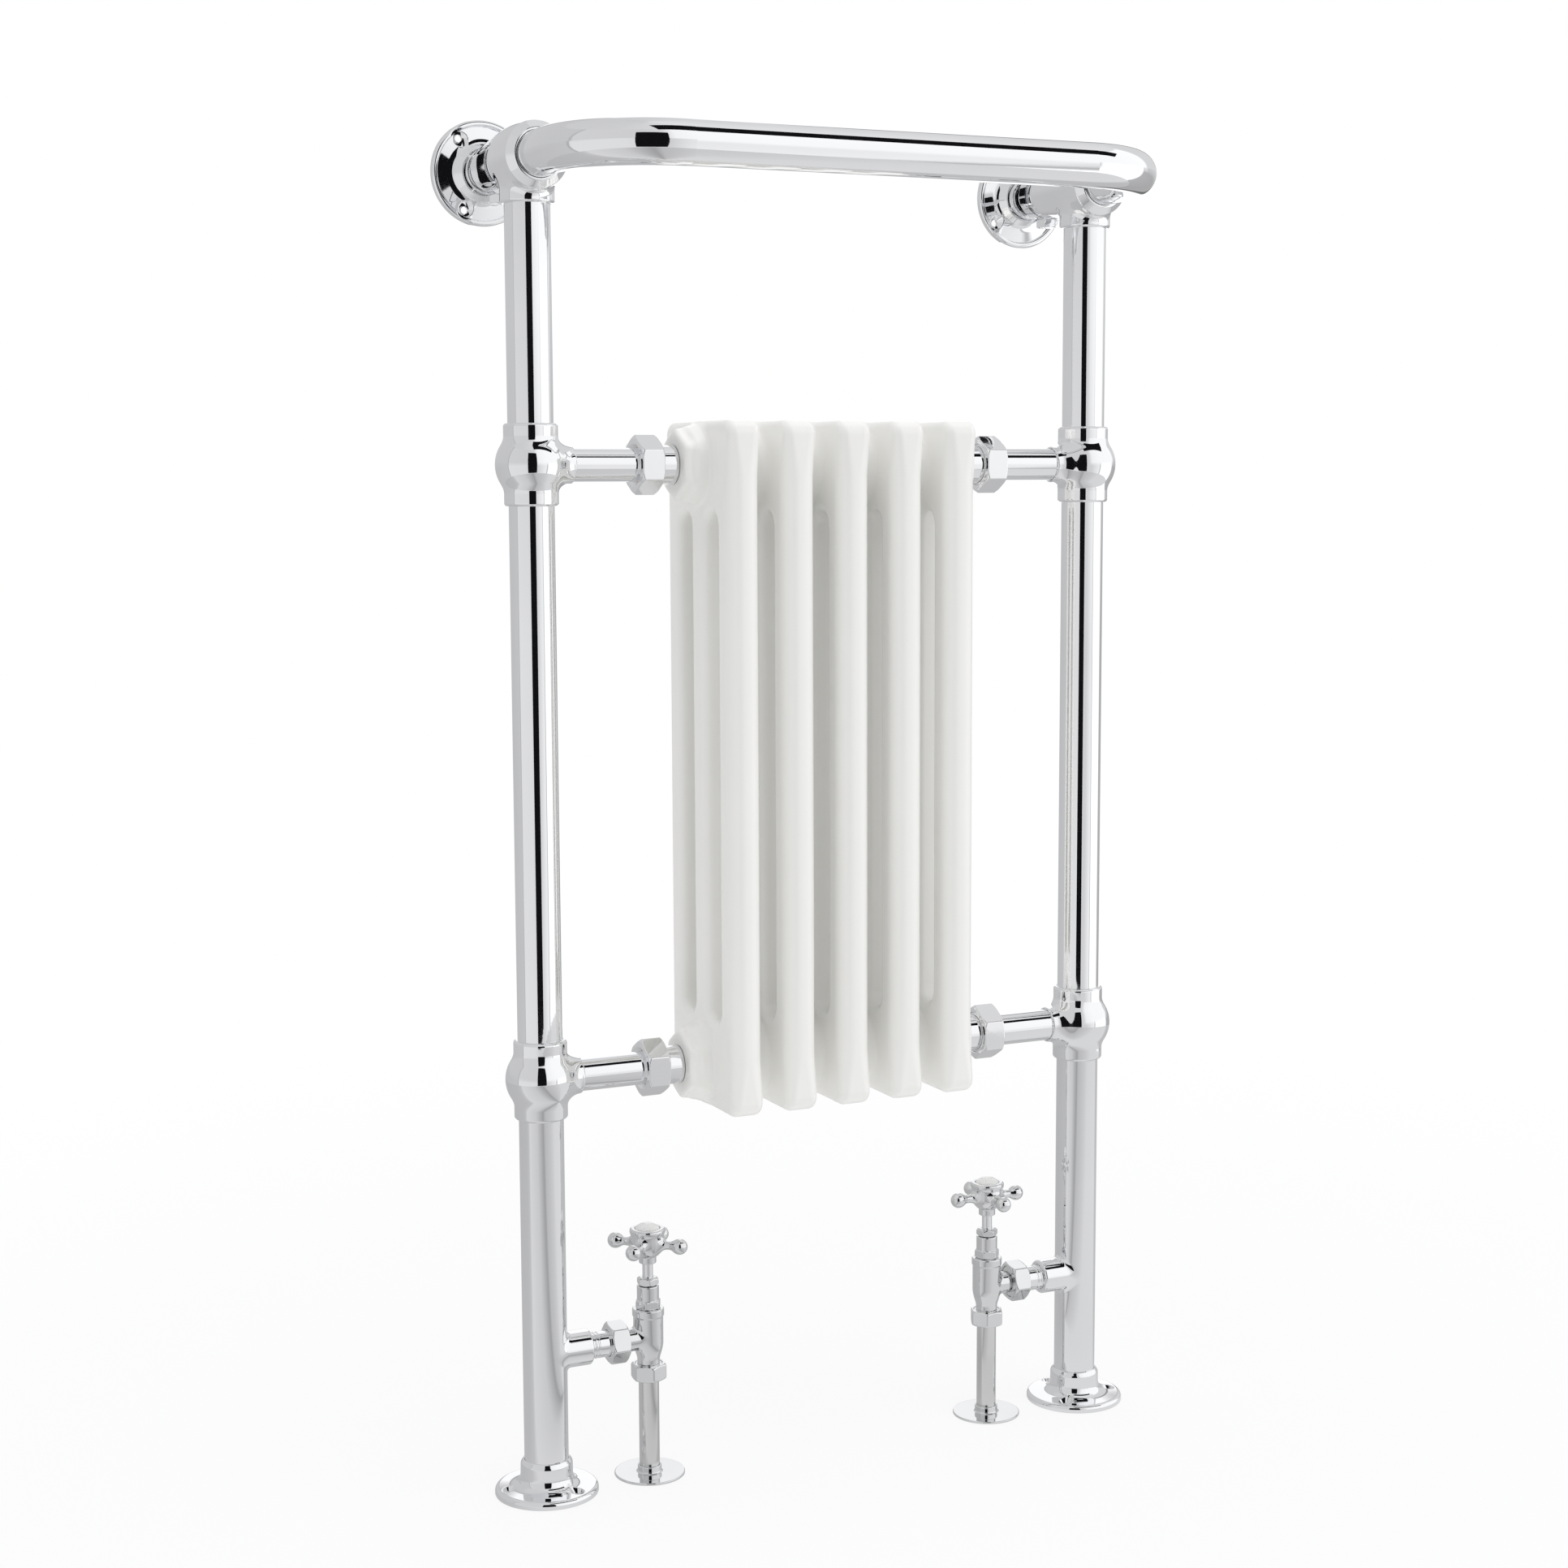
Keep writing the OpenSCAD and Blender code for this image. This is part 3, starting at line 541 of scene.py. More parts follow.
def make_foot_flanges():
    rise = high("left_foot_flange").z
    axes = (span(FOOT_BORE_R, FLANGE_R, STEP), around(288), span(0, rise, 0.6))
    for side, word, turn in ((LEFT, "left", 60), (RIGHT, "right", 75)):
        form = skin(lambda p: foot_flange(p, turn), axes, about=2)
        piece(word + "_foot_cast", place(form, side, side * POST_X, POST_Y, 0),
              [word + "_foot_flange"], "frame", MATERIALS["chrome_plate"])


def wall_flange(p, turn):
    """Flange seen from the wall, which is at height 0: a flat dome in a beaded rim, a cone, a
    cup and the spigot."""
    reach = WALL_Y - low("left_wall_flange").y
    r = length(p[0], p[1])
    dome = 6.4 - 0.1628 * (r - 22)
    form = cut(rod(p, 2, FLANGE_R, 0, 7, 2.6), np.maximum(dome - p[2], r - FLANGE_R + 4.2), 0.8)
    form = blend_union(form, cone(p, 2, 24.9, 15.6, 3, 13.5, 0.8), 2.5)
    form = blend_union(form, rod(p, 2, 16.4, 10, 20, 1.4), 0.8)
    form = cut(form, rod(p, 2, 13.4, 15, 30, 0.2), 0.5)
    form = np.minimum(form, rod(p, 2, SPIGOT_R, 3, reach, 0.5))
    form = cut(form, rod(p, 2, SPIGOT_BORE_R, -THROUGH, reach + THROUGH), 0.5)
    return cut(form, screw_holes(p, turn, 5.2), 0.3)


def upright_to_wall(skins):
    """Lays a skin that was made standing up against the wall, its foot at the wall."""
    points, quads, normals = skins
    lay = np.array([[1, 0, 0], [0, 0, -1], [0, 1, 0]])
    return points @ lay.T, quads, normals @ lay.T


def make_wall_flanges():
    reach = WALL_Y - low("left_wall_flange").y
    axes = (span(SPIGOT_BORE_R, FLANGE_R, STEP), around(288),
            spans((-1.2, 25, 0.6), (25, reach - 2, 4), (reach - 2, reach + 1.2, 0.6)))
    for side, word, turn in ((LEFT, "left", 4), (RIGHT, "right", 80)):
        form = upright_to_wall(skin(lambda p: wall_flange(p, turn), axes, about=2))
        piece(word + "_wall_cast", place(form, side, side * POST_X, WALL_Y, RAIL_Z),
              [word + "_wall_flange"], "frame", MATERIALS["chrome_plate"])


TAIL_Z = middle("valve_tails").z
BOSS_END = POST_X - low("right_lower_post").x
TAIL_R = 9.5


def lower_post(p):
    """Post tube with the boss that the valve screws into."""
    bottom, top = low("left_lower_post").z, high("left_lower_post").z
    boss = moved(p, z=TAIL_Z)
    form = blend_union(rod(p, 2, TUBE_R, bottom, top, 0.3), rod(boss, 0, 13, 0, BOSS_END, 2.0), 3)
    bore = np.minimum(rod(p, 2, TUBE_R - WALL, bottom - THROUGH, top + THROUGH),
                      rod(boss, 0, TAIL_R + FIT, 0, BOSS_END + THROUGH))
    return cut(form, bore, 0.3)


def make_lower_posts():
    bottom, top = low("left_lower_post").z, high("left_lower_post").z
    near_boss = (TAIL_Z - 18, TAIL_Z + 18)
    axes = (span(-TUBE_R, BOSS_END, STEP), span(-TUBE_R, TUBE_R, STEP),
            spans((bottom - 1.2, bottom + 0.8, 0.4), (bottom + 0.8, near_boss[0], 25),
                  (*near_boss, STEP), (near_boss[1], top - 0.8, 25),
                  (top - 0.8, top + 1.2, 0.4)))
    form = skin(lower_post, axes)
    for side, word in ((LEFT, "left"), (RIGHT, "right")):
        piece(word + "_lower_tube", place(form, side, side * POST_X, POST_Y, 0),
              [word + "_lower_post"], "frame", MATERIALS["chrome_plate"])


# ---------------------------------------------------------------- radiator unions

UNION_NUT = 17          # length of a union nut along its tube
BUSH_END = 22.8         # where the bush's thread ends inside the section
BUSH_BORE_R = 13.2


def union_nut(p):
    """Hexagon nut round the cross tube, counted from its outer end."""
    form = hexagon(p, 0, 37, 0, UNION_NUT, 2.2, 0.5)
    bore = np.minimum(rod(p, 0, CROSS_R + 0.25, -THROUGH, UNION_NUT + 2),
                      rod(p, 0, 15.2, 3.1, UNION_NUT + THROUGH, 0.2))
    mouth = cone(p, 0, CROSS_R + 3.4, CROSS_R + 0.6, -1, 2.8, 0.1)
    return cut(form, np.minimum(bore, mouth), 0.4)


def radiator_bush(p):
    """White hexagon bush, its foot lost in the paint that runs on to the hub."""
    flats = high("radiator_bushes").y - low("radiator_bushes").y
    form = hexagon(p, 0, flats, 0, 26, 3.0, 2.8)
    form = blend_union(form, cone(p, 0, 25.3, 29.8, 8.4, 19, 2.0), 5)
    form = round_both(form, p[0] - 19.5, 0.3)
    form = np.minimum(form, rod(p, 0, 16.6, 2, BUSH_END, 0.8))
    return cut(form, rod(p, 0, BUSH_BORE_R + FIT, -THROUGH, 38), 0.7)


def at_unions(form, start):
    """One skin at each of the radiator's four corners; start counts from the post."""
    shifted = (form[0] + np.array([start, 0, 0]), form[1], form[2])
    return [(side, level, place(shifted, side, side * POST_X, POST_Y, z))
            for side in (LEFT, RIGHT) for level, z in (("lower", LOWER_Z), ("upper", UPPER_Z))]


def make_unions():
    nut = skin(union_nut, (span(CROSS_R, 21.6, 0.5), around(180), span(0, UNION_NUT, 0.5)), about=0)
    bush = skin(radiator_bush, (span(13, 30, 0.6), around(180), span(0, BUSH_END, 0.6)), about=0)
    nut_start = POST_X + low("union_nuts").x
    bush_start = POST_X + low("radiator_bushes").x
    rows = ((nut, nut_start, "union_nut", "union_nuts", "chrome_plate"),
            (bush, bush_start, "bush", "radiator_bushes", "white_enamel"))
    for form, start, label, node, slot in rows:
        for side, level, skins in at_unions(form, start):
            word = "left" if side == LEFT else "right"
            piece(f"{word}_{level}_{label}", skins, [node], "frame", MATERIALS[slot])


# ---------------------------------------------------------------- radiator

COLUMN_R = 12.5
RAD_TOP, RAD_BOTTOM = high(SECTIONS[0]).z, low(SECTIONS[0]).z
RAD_HALF_DEPTH = (high(SECTIONS[0]).y - low(SECTIONS[0]).y) / 2
SLOT_Y = (RAD_HALF_DEPTH - COLUMN_R) / 2
SLOT_R = SLOT_Y - COLUMN_R
HUB_R = 29.0
HUB_BORE_R = 16.65
ARCH_DROP = 76.0        # from the top of a section down to its arch centres


def radiator_section(p):
    """One section: a slab with soft edges and two arched slots, and the hubs that join the
    sections at both ends."""
    across, along = np.abs(p[0]), np.abs(p[1])
    drop = (RAD_TOP - RAD_BOTTOM) / 2 - np.abs(p[2] - (RAD_TOP + RAD_BOTTOM) / 2)
    outline = round_both(along - RAD_HALF_DEPTH, -drop, 11.0)
    form = round_both(across - COLUMN_R, outline, 5.5 + 6.5 * np.clip(drop / 40, 0, 1))
    slot = SLOT_R - length(along - SLOT_Y, np.minimum(drop - ARCH_DROP, 0))
    form = round_both(form, slot, 6.5)
    hub = (across, p[1], drop - (RAD_TOP - UPPER_Z))
    shoulder = cone(hub, 0, HUB_R + 6.0, HUB_R - 3.5, 0, PITCH / 2, 1.6)
    shoulder = round_both(shoulder, length(hub[1], hub[2]) - HUB_R, 4.0)
    form = blend_union(form, shoulder, 7.0)
    return cut(form, rod(hub, 0, HUB_BORE_R, -THROUGH, PITCH / 2 + THROUGH, 0.1), 0.6)


def make_radiator():
    fine, coarse = 1.25, 22
    straight = (RAD_BOTTOM + 92, RAD_TOP - 92)
    axes = (span(-PITCH / 2, PITCH / 2, fine), span(-RAD_HALF_DEPTH, RAD_HALF_DEPTH, fine),
            spans((RAD_BOTTOM - 2 * fine, straight[0], fine), (*straight, coarse),
                  (straight[1], RAD_TOP + 2 * fine, fine)))
    form = skin(radiator_section, axes)
    for node in SECTIONS:
        piece(node + "_painted", place(form, LEFT, middle(node).x, POST_Y, 0), [node], "frame",
              MATERIALS["white_enamel"])


# ---------------------------------------------------------------- valves

BODY_TOP = high("left_valve_body").z
BONNET_TOP = high("valve_bonnets").z
GLAND_TOP = high("gland_nuts").z
COLLAR_Z = low("left_handle").z
HUB_TOP = high("left_handle").z
NUT_LOW = low("compression_nuts").z
NUT_HIGH = high("compression_nuts").z
VALVE_NUT = 13.6        # length of the nut between valve and post
VALVE_NUT_BORE_R = 9.65
PIPE_TOP = 93           # where a supply pipe ends inside its valve
SEAT_Z = 106            # the valve's seat, at the top of a waterway
WATERWAY_R = 4.5
BELOW_BODY = 60
BONNET_R = 8            # the bonnet's foot inside the body
BONNET_LOW = 116
GLAND_R = 6             # the gland nut's foot inside the bonnet
SPINDLE_R = 3.9
SPINDLE_BORE_R = 3.95
CAP_R = 9.3


def valve_body(p):
    """Barrel with a ringed mouth, a round bottom on a neck and a branch towards the post;
    its +X points away from the post."""
    r = length(p[0], p[1])
    neck_top = NUT_HIGH + 3.8
    barrel = rod(p, 2, 11.0, neck_top - 2, BODY_TOP - 1, 0.9)
    barrel = round_both(barrel, (r - 8.2 - (p[2] - neck_top) * 0.7) * 0.82, 5.0)
    form = blend_union(barrel, rod(p, 2, 8.3, 78, neck_top + 9, 0.4), 1.2)
    form = np.minimum(form, rod(p, 2, 9.9, NUT_LOW + 5, NUT_HIGH - 0.5, 0.3))
    form = blend_union(form, rod(p, 2, 11.7, BODY_TOP - 6, BODY_TOP, 0.9), 0.6)
    form = cut(form, length(r - 11.9, p[2] - BODY_TOP + 6.4) - 0.7, 0.3)
    branch = moved(p, z=TAIL_Z)
    form = blend_union(form, rod(branch, 0, 8.5, -25.5, 0, 0.3), 2.4)
    form = np.minimum(form, rod(branch, 0, 11.9, -26, -20, 0.5))
    bore = np.minimum(rod(p, 2, BONNET_R + FIT, SEAT_Z + 3, BODY_TOP + THROUGH),
                      rod(p, 2, 7.2, SEAT_Z, SEAT_Z + 6, 0.1))
    bore = np.minimum(bore, rod(p, 2, WATERWAY_R, BELOW_BODY, SEAT_Z + 6))
    bore = np.minimum(bore, rod(p, 2, PIPE_R + FIT, BELOW_BODY, PIPE_TOP, 0.1))
    bore = np.minimum(bore, rod(branch, 0, 6, -40, -9))
    return cut(form, bore, 0.3)


def bonnet(p, turn):
    """Hexagon at the body's mouth, with a round neck above it."""
    form = rod(p, 2, BONNET_R, BONNET_LOW, BODY_TOP + 1, 0.3)
    form = np.minimum(form, hexagon(turned(p, turn), 2, 17, BODY_TOP, BODY_TOP + 6.3, 1.3, 0.45))
    form = blend_union(form, rod(p, 2, 8.1, BODY_TOP + 4, BONNET_TOP, 0.7), 0.5)
    bore = np.minimum(rod(p, 2, SPINDLE_BORE_R, BONNET_LOW - 6, BONNET_TOP + THROUGH),
                      rod(p, 2, GLAND_R, BONNET_TOP - 6, BONNET_TOP + THROUGH, 0.1))
    return cut(form, bore, 0.3)


def gland_nut(p):
    """Small nut on the bonnet, its corners turned off strongly above and below."""
    form = hexagon(turned(p, 20), 2, 14.6, BONNET_TOP, GLAND_TOP, 2.3, 0.45)
    form = np.minimum(form, rod(p, 2, GLAND_R - FIT, BONNET_TOP - 3, BONNET_TOP + 2, 0.1))
    return cut(form, rod(p, 2, SPINDLE_BORE_R, BONNET_TOP - THROUGH, GLAND_TOP + THROUGH), 0.4)


HUB_LOW = COLLAR_Z + 6.2
ARM_Z = COLLAR_Z + 14.4
ARM_BALL_R = 5.8
ARM_REACH = (high("right_handle").x - low("right_handle").x) / 2 - ARM_BALL_R
RIM_R = 13.0
SPINDLE_END_R = 3
HANDLE_SCREW_R = 2


def handle(p):
    """Cross handle: four waisted arms that end in balls run out of a rimmed hub."""
    form = cone(p, 2, 7.6, RIM_R - 0.6, HUB_LOW, HUB_TOP - 4, 2.4)
    folded = [np.abs(p[0]), np.abs(p[1])]
    for out, aside in ((folded[0], folded[1]), (folded[1], folded[0])):
        q = (out, aside, p[2] - ARM_Z)
        waist = 3.1 + 4.4 * np.clip((16.5 - out) / 9.0, 0, 1) ** 2
        arm = np.maximum((length(q[1], q[2]) - waist) * 0.8, out - ARM_REACH)
        form = blend_union(form, arm, 4.5)
        form = blend_union(form, length(out - ARM_REACH, q[1], q[2]) - ARM_BALL_R, 2.4)
    form = blend_union(form, rod(p, 2, RIM_R, HUB_TOP - 4.6, HUB_TOP, 1.7), 1.6)
    form = blend_union(form, rod(p, 2, 6.4, COLLAR_Z, ARM_Z - 4, 0.8), 0.8)
    bore = np.minimum(rod(p, 2, SPINDLE_R + FIT, COLLAR_Z - THROUGH, HUB_LOW, 0.1),
                      rod(p, 2, SPINDLE_END_R + FIT, COLLAR_Z, COLLAR_Z + 15.4, 0.1))
    bore = np.minimum(bore, rod(p, 2, HANDLE_SCREW_R + FIT, ARM_Z - 5, HUB_TOP, 0.1))
    bore = np.minimum(bore, rod(p, 2, CAP_R + FIT, HUB_TOP - 4, HUB_TOP + THROUGH, 0.1))
    return cut(form, bore, 0.35)


def handle_cap(p):
    """Domed glazed disc in the hub's recess."""
    top = high("left_handle_cap").z
    bottom = low("left_handle_cap").z
    dome = top - HUB_TOP + 0.4
    ball = (CAP_R * CAP_R + dome * dome) / (2 * dome)
    form = round_both(rod(p, 2, CAP_R, bottom, top + 3, 0.3),
                      length(p[0], p[1], p[2] - top + ball) - ball, 0.7)
    return cut(form, rod(p, 2, 4, bottom - 9, bottom + 0.8, 0.2), 0.2)


def compression_nut(p, turn):
    """Hexagon nut that closes the valve round its supply pipe."""
    form = hexagon(turned(p, turn), 2, 23.6, NUT_LOW, NUT_HIGH, 1.9, 0.9)
    bore = np.minimum(rod(p, 2, PIPE_R + 0.12, NUT_LOW - THROUGH, NUT_HIGH),
                      rod(p, 2, 9.95, NUT_LOW + 2.5, NUT_HIGH + THROUGH, 0.1))
    return cut(form, bore, 0.5)


def valve_union_nut(p):
    """Nut between valve and post, with its own start at x = 0, growing towards the post."""
    form = hexagon(turned(p, -20, 0), 0, 27.5, -VALVE_NUT, 0, 2.0, 0.6)
    bore = np.minimum(rod(p, 0, VALVE_NUT_BORE_R, -30, THROUGH),
                      rod(p, 0, 11.95, -10.4, THROUGH, 0.1))
    return cut(form, bore, 0.4)


def floor_plate(p):
    """Flat loose plate with a short upright neck round the pipe."""
    r = (high("left_floor_plate").x - low("left_floor_plate").x) / 2
    top = high("left_floor_plate").z
    form = blend_union(rod(p, 2, r, -THROUGH, 1.9, 0.7), rod(p, 2, 8.8, -THROUGH, top, 0.8), 1.6)
    hole = rod(p, 2, PIPE_R + 0.08, -THROUGH, top + THROUGH)
    return cut(round_both(form, -p[2], 0.4), hole, 0.35)


def make_valves():
    whole = span(-12, 12, 0.5)
    body_axes = (span(-26, 12, 0.5), whole, span(low("left_valve_body").z, BODY_TOP, 0.5))
    bonnet_axes = (span(SPINDLE_R, 10, 0.4), around(144), span(BONNET_LOW, BONNET_TOP, 0.4))
    gland_axes = (span(SPINDLE_R, 8.6, 0.35), around(144),
                  span(BONNET_TOP - 3, GLAND_TOP, 0.35))
    reach = ARM_REACH + ARM_BALL_R
    handle_axes = (span(-reach, reach, 0.6), span(-reach, reach, 0.6), span(COLLAR_Z, HUB_TOP, 0.6))
    cap_axes = (span(-CAP_R, CAP_R, 0.5), span(-CAP_R, CAP_R, 0.5),
                span(low("left_handle_cap").z, high("left_handle_cap").z, 0.4))
    nut_axes = (span(PIPE_R, 13.8, 0.45), around(144), span(NUT_LOW, NUT_HIGH, 0.45))
    union_axes = (span(9.5, 16, 0.45), around(144), span(-VALVE_NUT, 0, 0.45))
    plate_r = (high("left_floor_plate").x - low("left_floor_plate").x) / 2
    plate_axes = (span(PIPE_R, plate_r, 0.6), around(192),
                  span(0, high("left_floor_plate").z, 0.35))
    body = skin(valve_body, body_axes)
    cross = skin(handle, handle_axes)
    cap = skin(handle_cap, cap_axes)
    gland = skin(gland_nut, gland_axes, about=2)
    union = skin(valve_union_nut, union_axes, about=0)
    union_x = high("valve_union_nuts").x - VALVE_NUT - VALVE_X
    plate = skin(floor_plate, plate_axes, about=2)
    turns = ((LEFT, "left", 0, 25, 45), (RIGHT, "right", 15, 55, 0))
    for side, word, hex_turn, nut_turn, handle_turn in turns:
        def at(form, turn=0.0, z=0.0, out=0.0):
            return place(form, side, side * (VALVE_X + out), POST_Y, z, turn)

        turned_bonnet = skin(lambda p: bonnet(p, hex_turn), bonnet_axes, about=2)
        turned_nut = skin(lambda p: compression_nut(p, nut_turn), nut_axes, about=2)
        moving = word + "_valve_handle"
        rows = (("valve_cast", at(body), word + "_valve_body", "frame", "chrome_plate"),
                ("bonnet", at(turned_bonnet), "valve_bonnets", "frame", "chrome_plate"),
                ("gland", at(gland), "gland_nuts", "frame", "chrome_plate"),
                ("valve_nut", at(union, z=TAIL_Z, out=union_x), "valve_union_nuts", "frame",
                 "chrome_plate"),
                ("pipe_nut", at(turned_nut), "compression_nuts", "frame", "chrome_plate"),
                ("cross", at(cross, handle_turn), word + "_handle", moving, "chrome_plate"),
                ("cap", at(cap), word + "_handle_cap", moving, "glazed_cap"),
                ("cover", at(plate), word + "_floor_plate", word + "_floor_cover",
                 "chrome_plate"))
        for label, skins, node, rides, slot in rows:
            finish = "valve_plate" if slot == "chrome_plate" else slot
            piece(f"{word}_{label}", skins, [node], rides, MATERIALS[finish])


# ---------------------------------------------------------------- studio

CAMERA_LENS, CAMERA_SENSOR = 58.6789, 36.0
CAMERA_MM = (-816.4, -1674.0, 725.3)
CAMERA_AZIMUTH, CAMERA_ELEVATION, CAMERA_ROLL = -24.94, 6.70, -0.24


def make_camera():
    data = bpy.data.cameras.new("camera")
    data.sensor_width = CAMERA_SENSOR
    data.lens = CAMERA_LENS
    data.clip_end = 50
    camera = bpy.data.objects.new("camera", data)
    bpy.context.scene.collection.objects.link(camera)
    azimuth, elevation = math.radians(CAMERA_AZIMUTH), math.radians(CAMERA_ELEVATION)
    back = Vector((math.sin(azimuth) * math.cos(elevation), -math.cos(azimuth) * math.cos(elevation),
                   math.sin(elevation)))
    right = (-back).cross(Vector((0, 0, 1))).normalized()
    up = back.cross(right)
    roll = Matrix.Rotation(math.radians(CAMERA_ROLL), 3, "Z")
    turn = Matrix((right, up, back)).transposed() @ roll
    camera.matrix_world = Matrix.Translation(Vector(CAMERA_MM) * MM) @ turn.to_4x4()
    bpy.context.scene.camera = camera


def maths(tree, operation, a, b=None):
    node = tree.nodes.new("ShaderNodeMath")
    node.operation = operation
    for i, value in enumerate((a, b)):
        if isinstance(value, (int, float)):
            node.inputs[i].default_value = value
        elif value is not None:
            tree.links.new(value, node.inputs[i])
    return node.outputs[0]


# Light of the tent round the object, for what lies low and what lies higher up, then its
# ceiling and the floor as polished metal mirrors it: (bearing in degrees from the front, to
# the right, and brightness). A pair of close bearings is the edge of a panel.
TENT = ((-180, 0.55), (-99, 0.60), (-98, 0.44), (-96.5, 0.44), (-95.5, 0.82), (-40, 0.80),
        (-18, 0.70), (0, 0.70), (20, 0.88), (32, 0.97), (33, 0.55), (36, 0.55), (37, 1.25),
        (92, 1.2), (94, 0.50), (130, 0.42), (138, 0.44), (139, 0.16), (142, 0.16), (143, 1.15),
        (166, 1.15), (167, 0.30), (171, 0.50), (180, 0.55))
UPPER_TENT = ((-180, 0.62), (-99, 0.62), (-98, 0.5), (-96, 0.5), (-95, 0.70), (-30, 0.68),
              (-8, 0.72), (4, 1.0), (32, 1.08), (100, 1.1), (104, 0.74), (138, 0.70), (139, 0.3),
              (142, 0.3), (143, 1.1), (166, 1.1), (167, 0.4), (171, 0.6), (180, 0.62))
CEILING = ((-180, 0.66), (-60, 0.68), (0, 0.76), (60, 0.84), (120, 0.76), (180, 0.66))
# The floor's ring is painted light: its glow stands in for the lit floor, and the dip round -22
# degrees is the camera's painted shadow.
FLOOR = ((-180, 0.50), (-100, 0.54), (-90, 0.58), (-84, 0.74), (-50, 0.65), (-22, 0.38),
         (-14, 0.54), (20, 0.65), (40, 0.75), (90, 0.77), (100, 0.56), (180, 0.50))
# How much of the tent reaches matt surfaces: less from the front, more from behind.
SOFT_SHARE = ((-180, 1.5), (-115, 1.35), (-80, 1.02), (-45, 0.74), (12, 0.74), (50, 0.92),
              (100, 1.0), (135, 1.35), (142, 1.4), (143, 0.6), (166, 0.6), (167, 1.45),
              (180, 1.5))


def ring_of_light(tree, bearing, stops):
    ramp = tree.nodes.new("ShaderNodeValToRGB")
    elements = ramp.color_ramp.elements
    for i, (degrees, level) in enumerate(stops):
        at = (degrees + 180) / 360
        element = elements[i] if i < 2 else elements.new(at)
        element.position = at
        element.color = (level, level, level * 1.01, 1)
    tree.links.new(bearing, ramp.inputs["Fac"])
    return ramp.outputs["Color"]


def bearing_of(tree, vector):
    """Bearing of a vector, 0 to 1 once round from behind; half way is the front."""
    axis = tree.nodes.new("ShaderNodeSeparateXYZ")
    tree.links.new(vector, axis.inputs[0])
    backwards = maths(tree, "MULTIPLY", axis.outputs["Y"], -1.0)
    angle = maths(tree, "ARCTAN2", axis.outputs["X"], backwards)
    bearing = maths(tree, "MULTIPLY_ADD", angle, 1 / (2 * math.pi))
    bearing.node.inputs[2].default_value = 0.5
    return bearing, axis.outputs["Z"]


def faded(tree, value, start, end, first, second):
    """Goes from the first colour to the second while a value goes from start to end."""
    share = tree.nodes.new("ShaderNodeMapRange")
    share.inputs["From Min"].default_value = start
    share.inputs["From Max"].default_value = end
    tree.links.new(value, share.inputs["Value"])
    mix = tree.nodes.new("ShaderNodeMix")
    mix.data_type = "RGBA"
    tree.links.new(share.outputs["Result"], mix.inputs["Factor"])
    tree.links.new(first, mix.inputs["A"])
    tree.links.new(second, mix.inputs["B"])
    return mix.outputs["Result"]


def make_world():
    """A light tent: panels of different brightness round the object and a ceiling. The
    background itself is plain white."""
    world = bpy.data.worlds.new("light_tent")
    world.use_nodes = True
    tree = world.node_tree
    background = tree.nodes["Background"]
    direction = tree.nodes.new("ShaderNodeTexCoord").outputs["Generated"]
    bearing, rise = bearing_of(tree, direction)
    rings = [ring_of_light(tree, bearing, stops) for stops in (TENT, UPPER_TENT, CEILING)]
    tent = faded(tree, rise, -0.06, 0.12, rings[0], rings[1])
    eaves = [math.sin(math.radians(degrees)) for degrees in (47, 49)]
    tent = faded(tree, rise, *eaves, tent, rings[2])
    path = tree.nodes.new("ShaderNodeLightPath")
    matt = tree.nodes.new("ShaderNodeMix")
    matt.data_type = "RGBA"
    matt.blend_type = "MULTIPLY"
    matt.clamp_result = False
    tree.links.new(path.outputs["Is Diffuse Ray"], matt.inputs["Factor"])
    tree.links.new(tent, matt.inputs["A"])
    tree.links.new(ring_of_light(tree, bearing, SOFT_SHARE), matt.inputs["B"])
    seen = tree.nodes.new("ShaderNodeMix")
    seen.data_type = "RGBA"
    tree.links.new(path.outputs["Is Camera Ray"], seen.inputs["Factor"])
    tree.links.new(matt.outputs["Result"], seen.inputs["A"])
    seen.inputs["B"].default_value = (1, 1, 1, 1)
    tree.links.new(seen.outputs["Result"], background.inputs["Color"])
    bpy.context.scene.world = world


def dark_panel(name, centre, width, height, tilt):
    """A black flag that only shows as a reflection."""
    mesh = bpy.data.meshes.new(name)
    w, h = width / 2, height / 2
    mesh.from_pydata([(-w, 0, -h), (w, 0, -h), (w, 0, h), (-w, 0, h)], [], [(0, 1, 2, 3)])
    panel = bpy.data.objects.new(name, mesh)
    bpy.context.scene.collection.objects.link(panel)
    panel.location = centre
    panel.rotation_euler = (math.radians(tilt), 0, math.atan2(-centre[0], centre[1]) + math.pi
                            if tilt == 0 else 0)
    material = bpy.data.materials.new(name)
    material.use_nodes = True
    tree = material.node_tree
    tree.nodes.clear()
    glow = tree.nodes.new("ShaderNodeEmission")
    glow.inputs["Color"].default_value = (0.006, 0.006, 0.007, 1)
    out = tree.nodes.new("ShaderNodeOutputMaterial")
    tree.links.new(glow.outputs[0], out.inputs["Surface"])
    mesh.materials.append(material)
    panel.visible_camera = False
    panel.visible_diffuse = False
    panel.visible_shadow = False


def make_flags():
    """The gap that the camera looks through, and the gap below the overhead light."""
    dark_panel("camera_gap", (-0.60, -1.46, 0.95), 0.80, 1.9, 0)
    dark_panel("overhead_gap", (0.85, -1.04, 2.48), 2.5, 0.74, -58)


def make_light(name, place_at, aim, size, power):
    data = bpy.data.lights.new(name, "AREA")
    data.shape = "DISK"
    data.size = size
    data.energy = power
    light = bpy.data.objects.new(name, data)
    bpy.context.scene.collection.objects.link(light)
    light.location = place_at
    light.rotation_euler = (Vector(aim) - Vector(place_at)).to_track_quat("-Z", "Y").to_euler()
    light.visible_glossy = False


FLOOR_EDGE = 1.5        # where the tent stands on the floor, as metal mirrors it


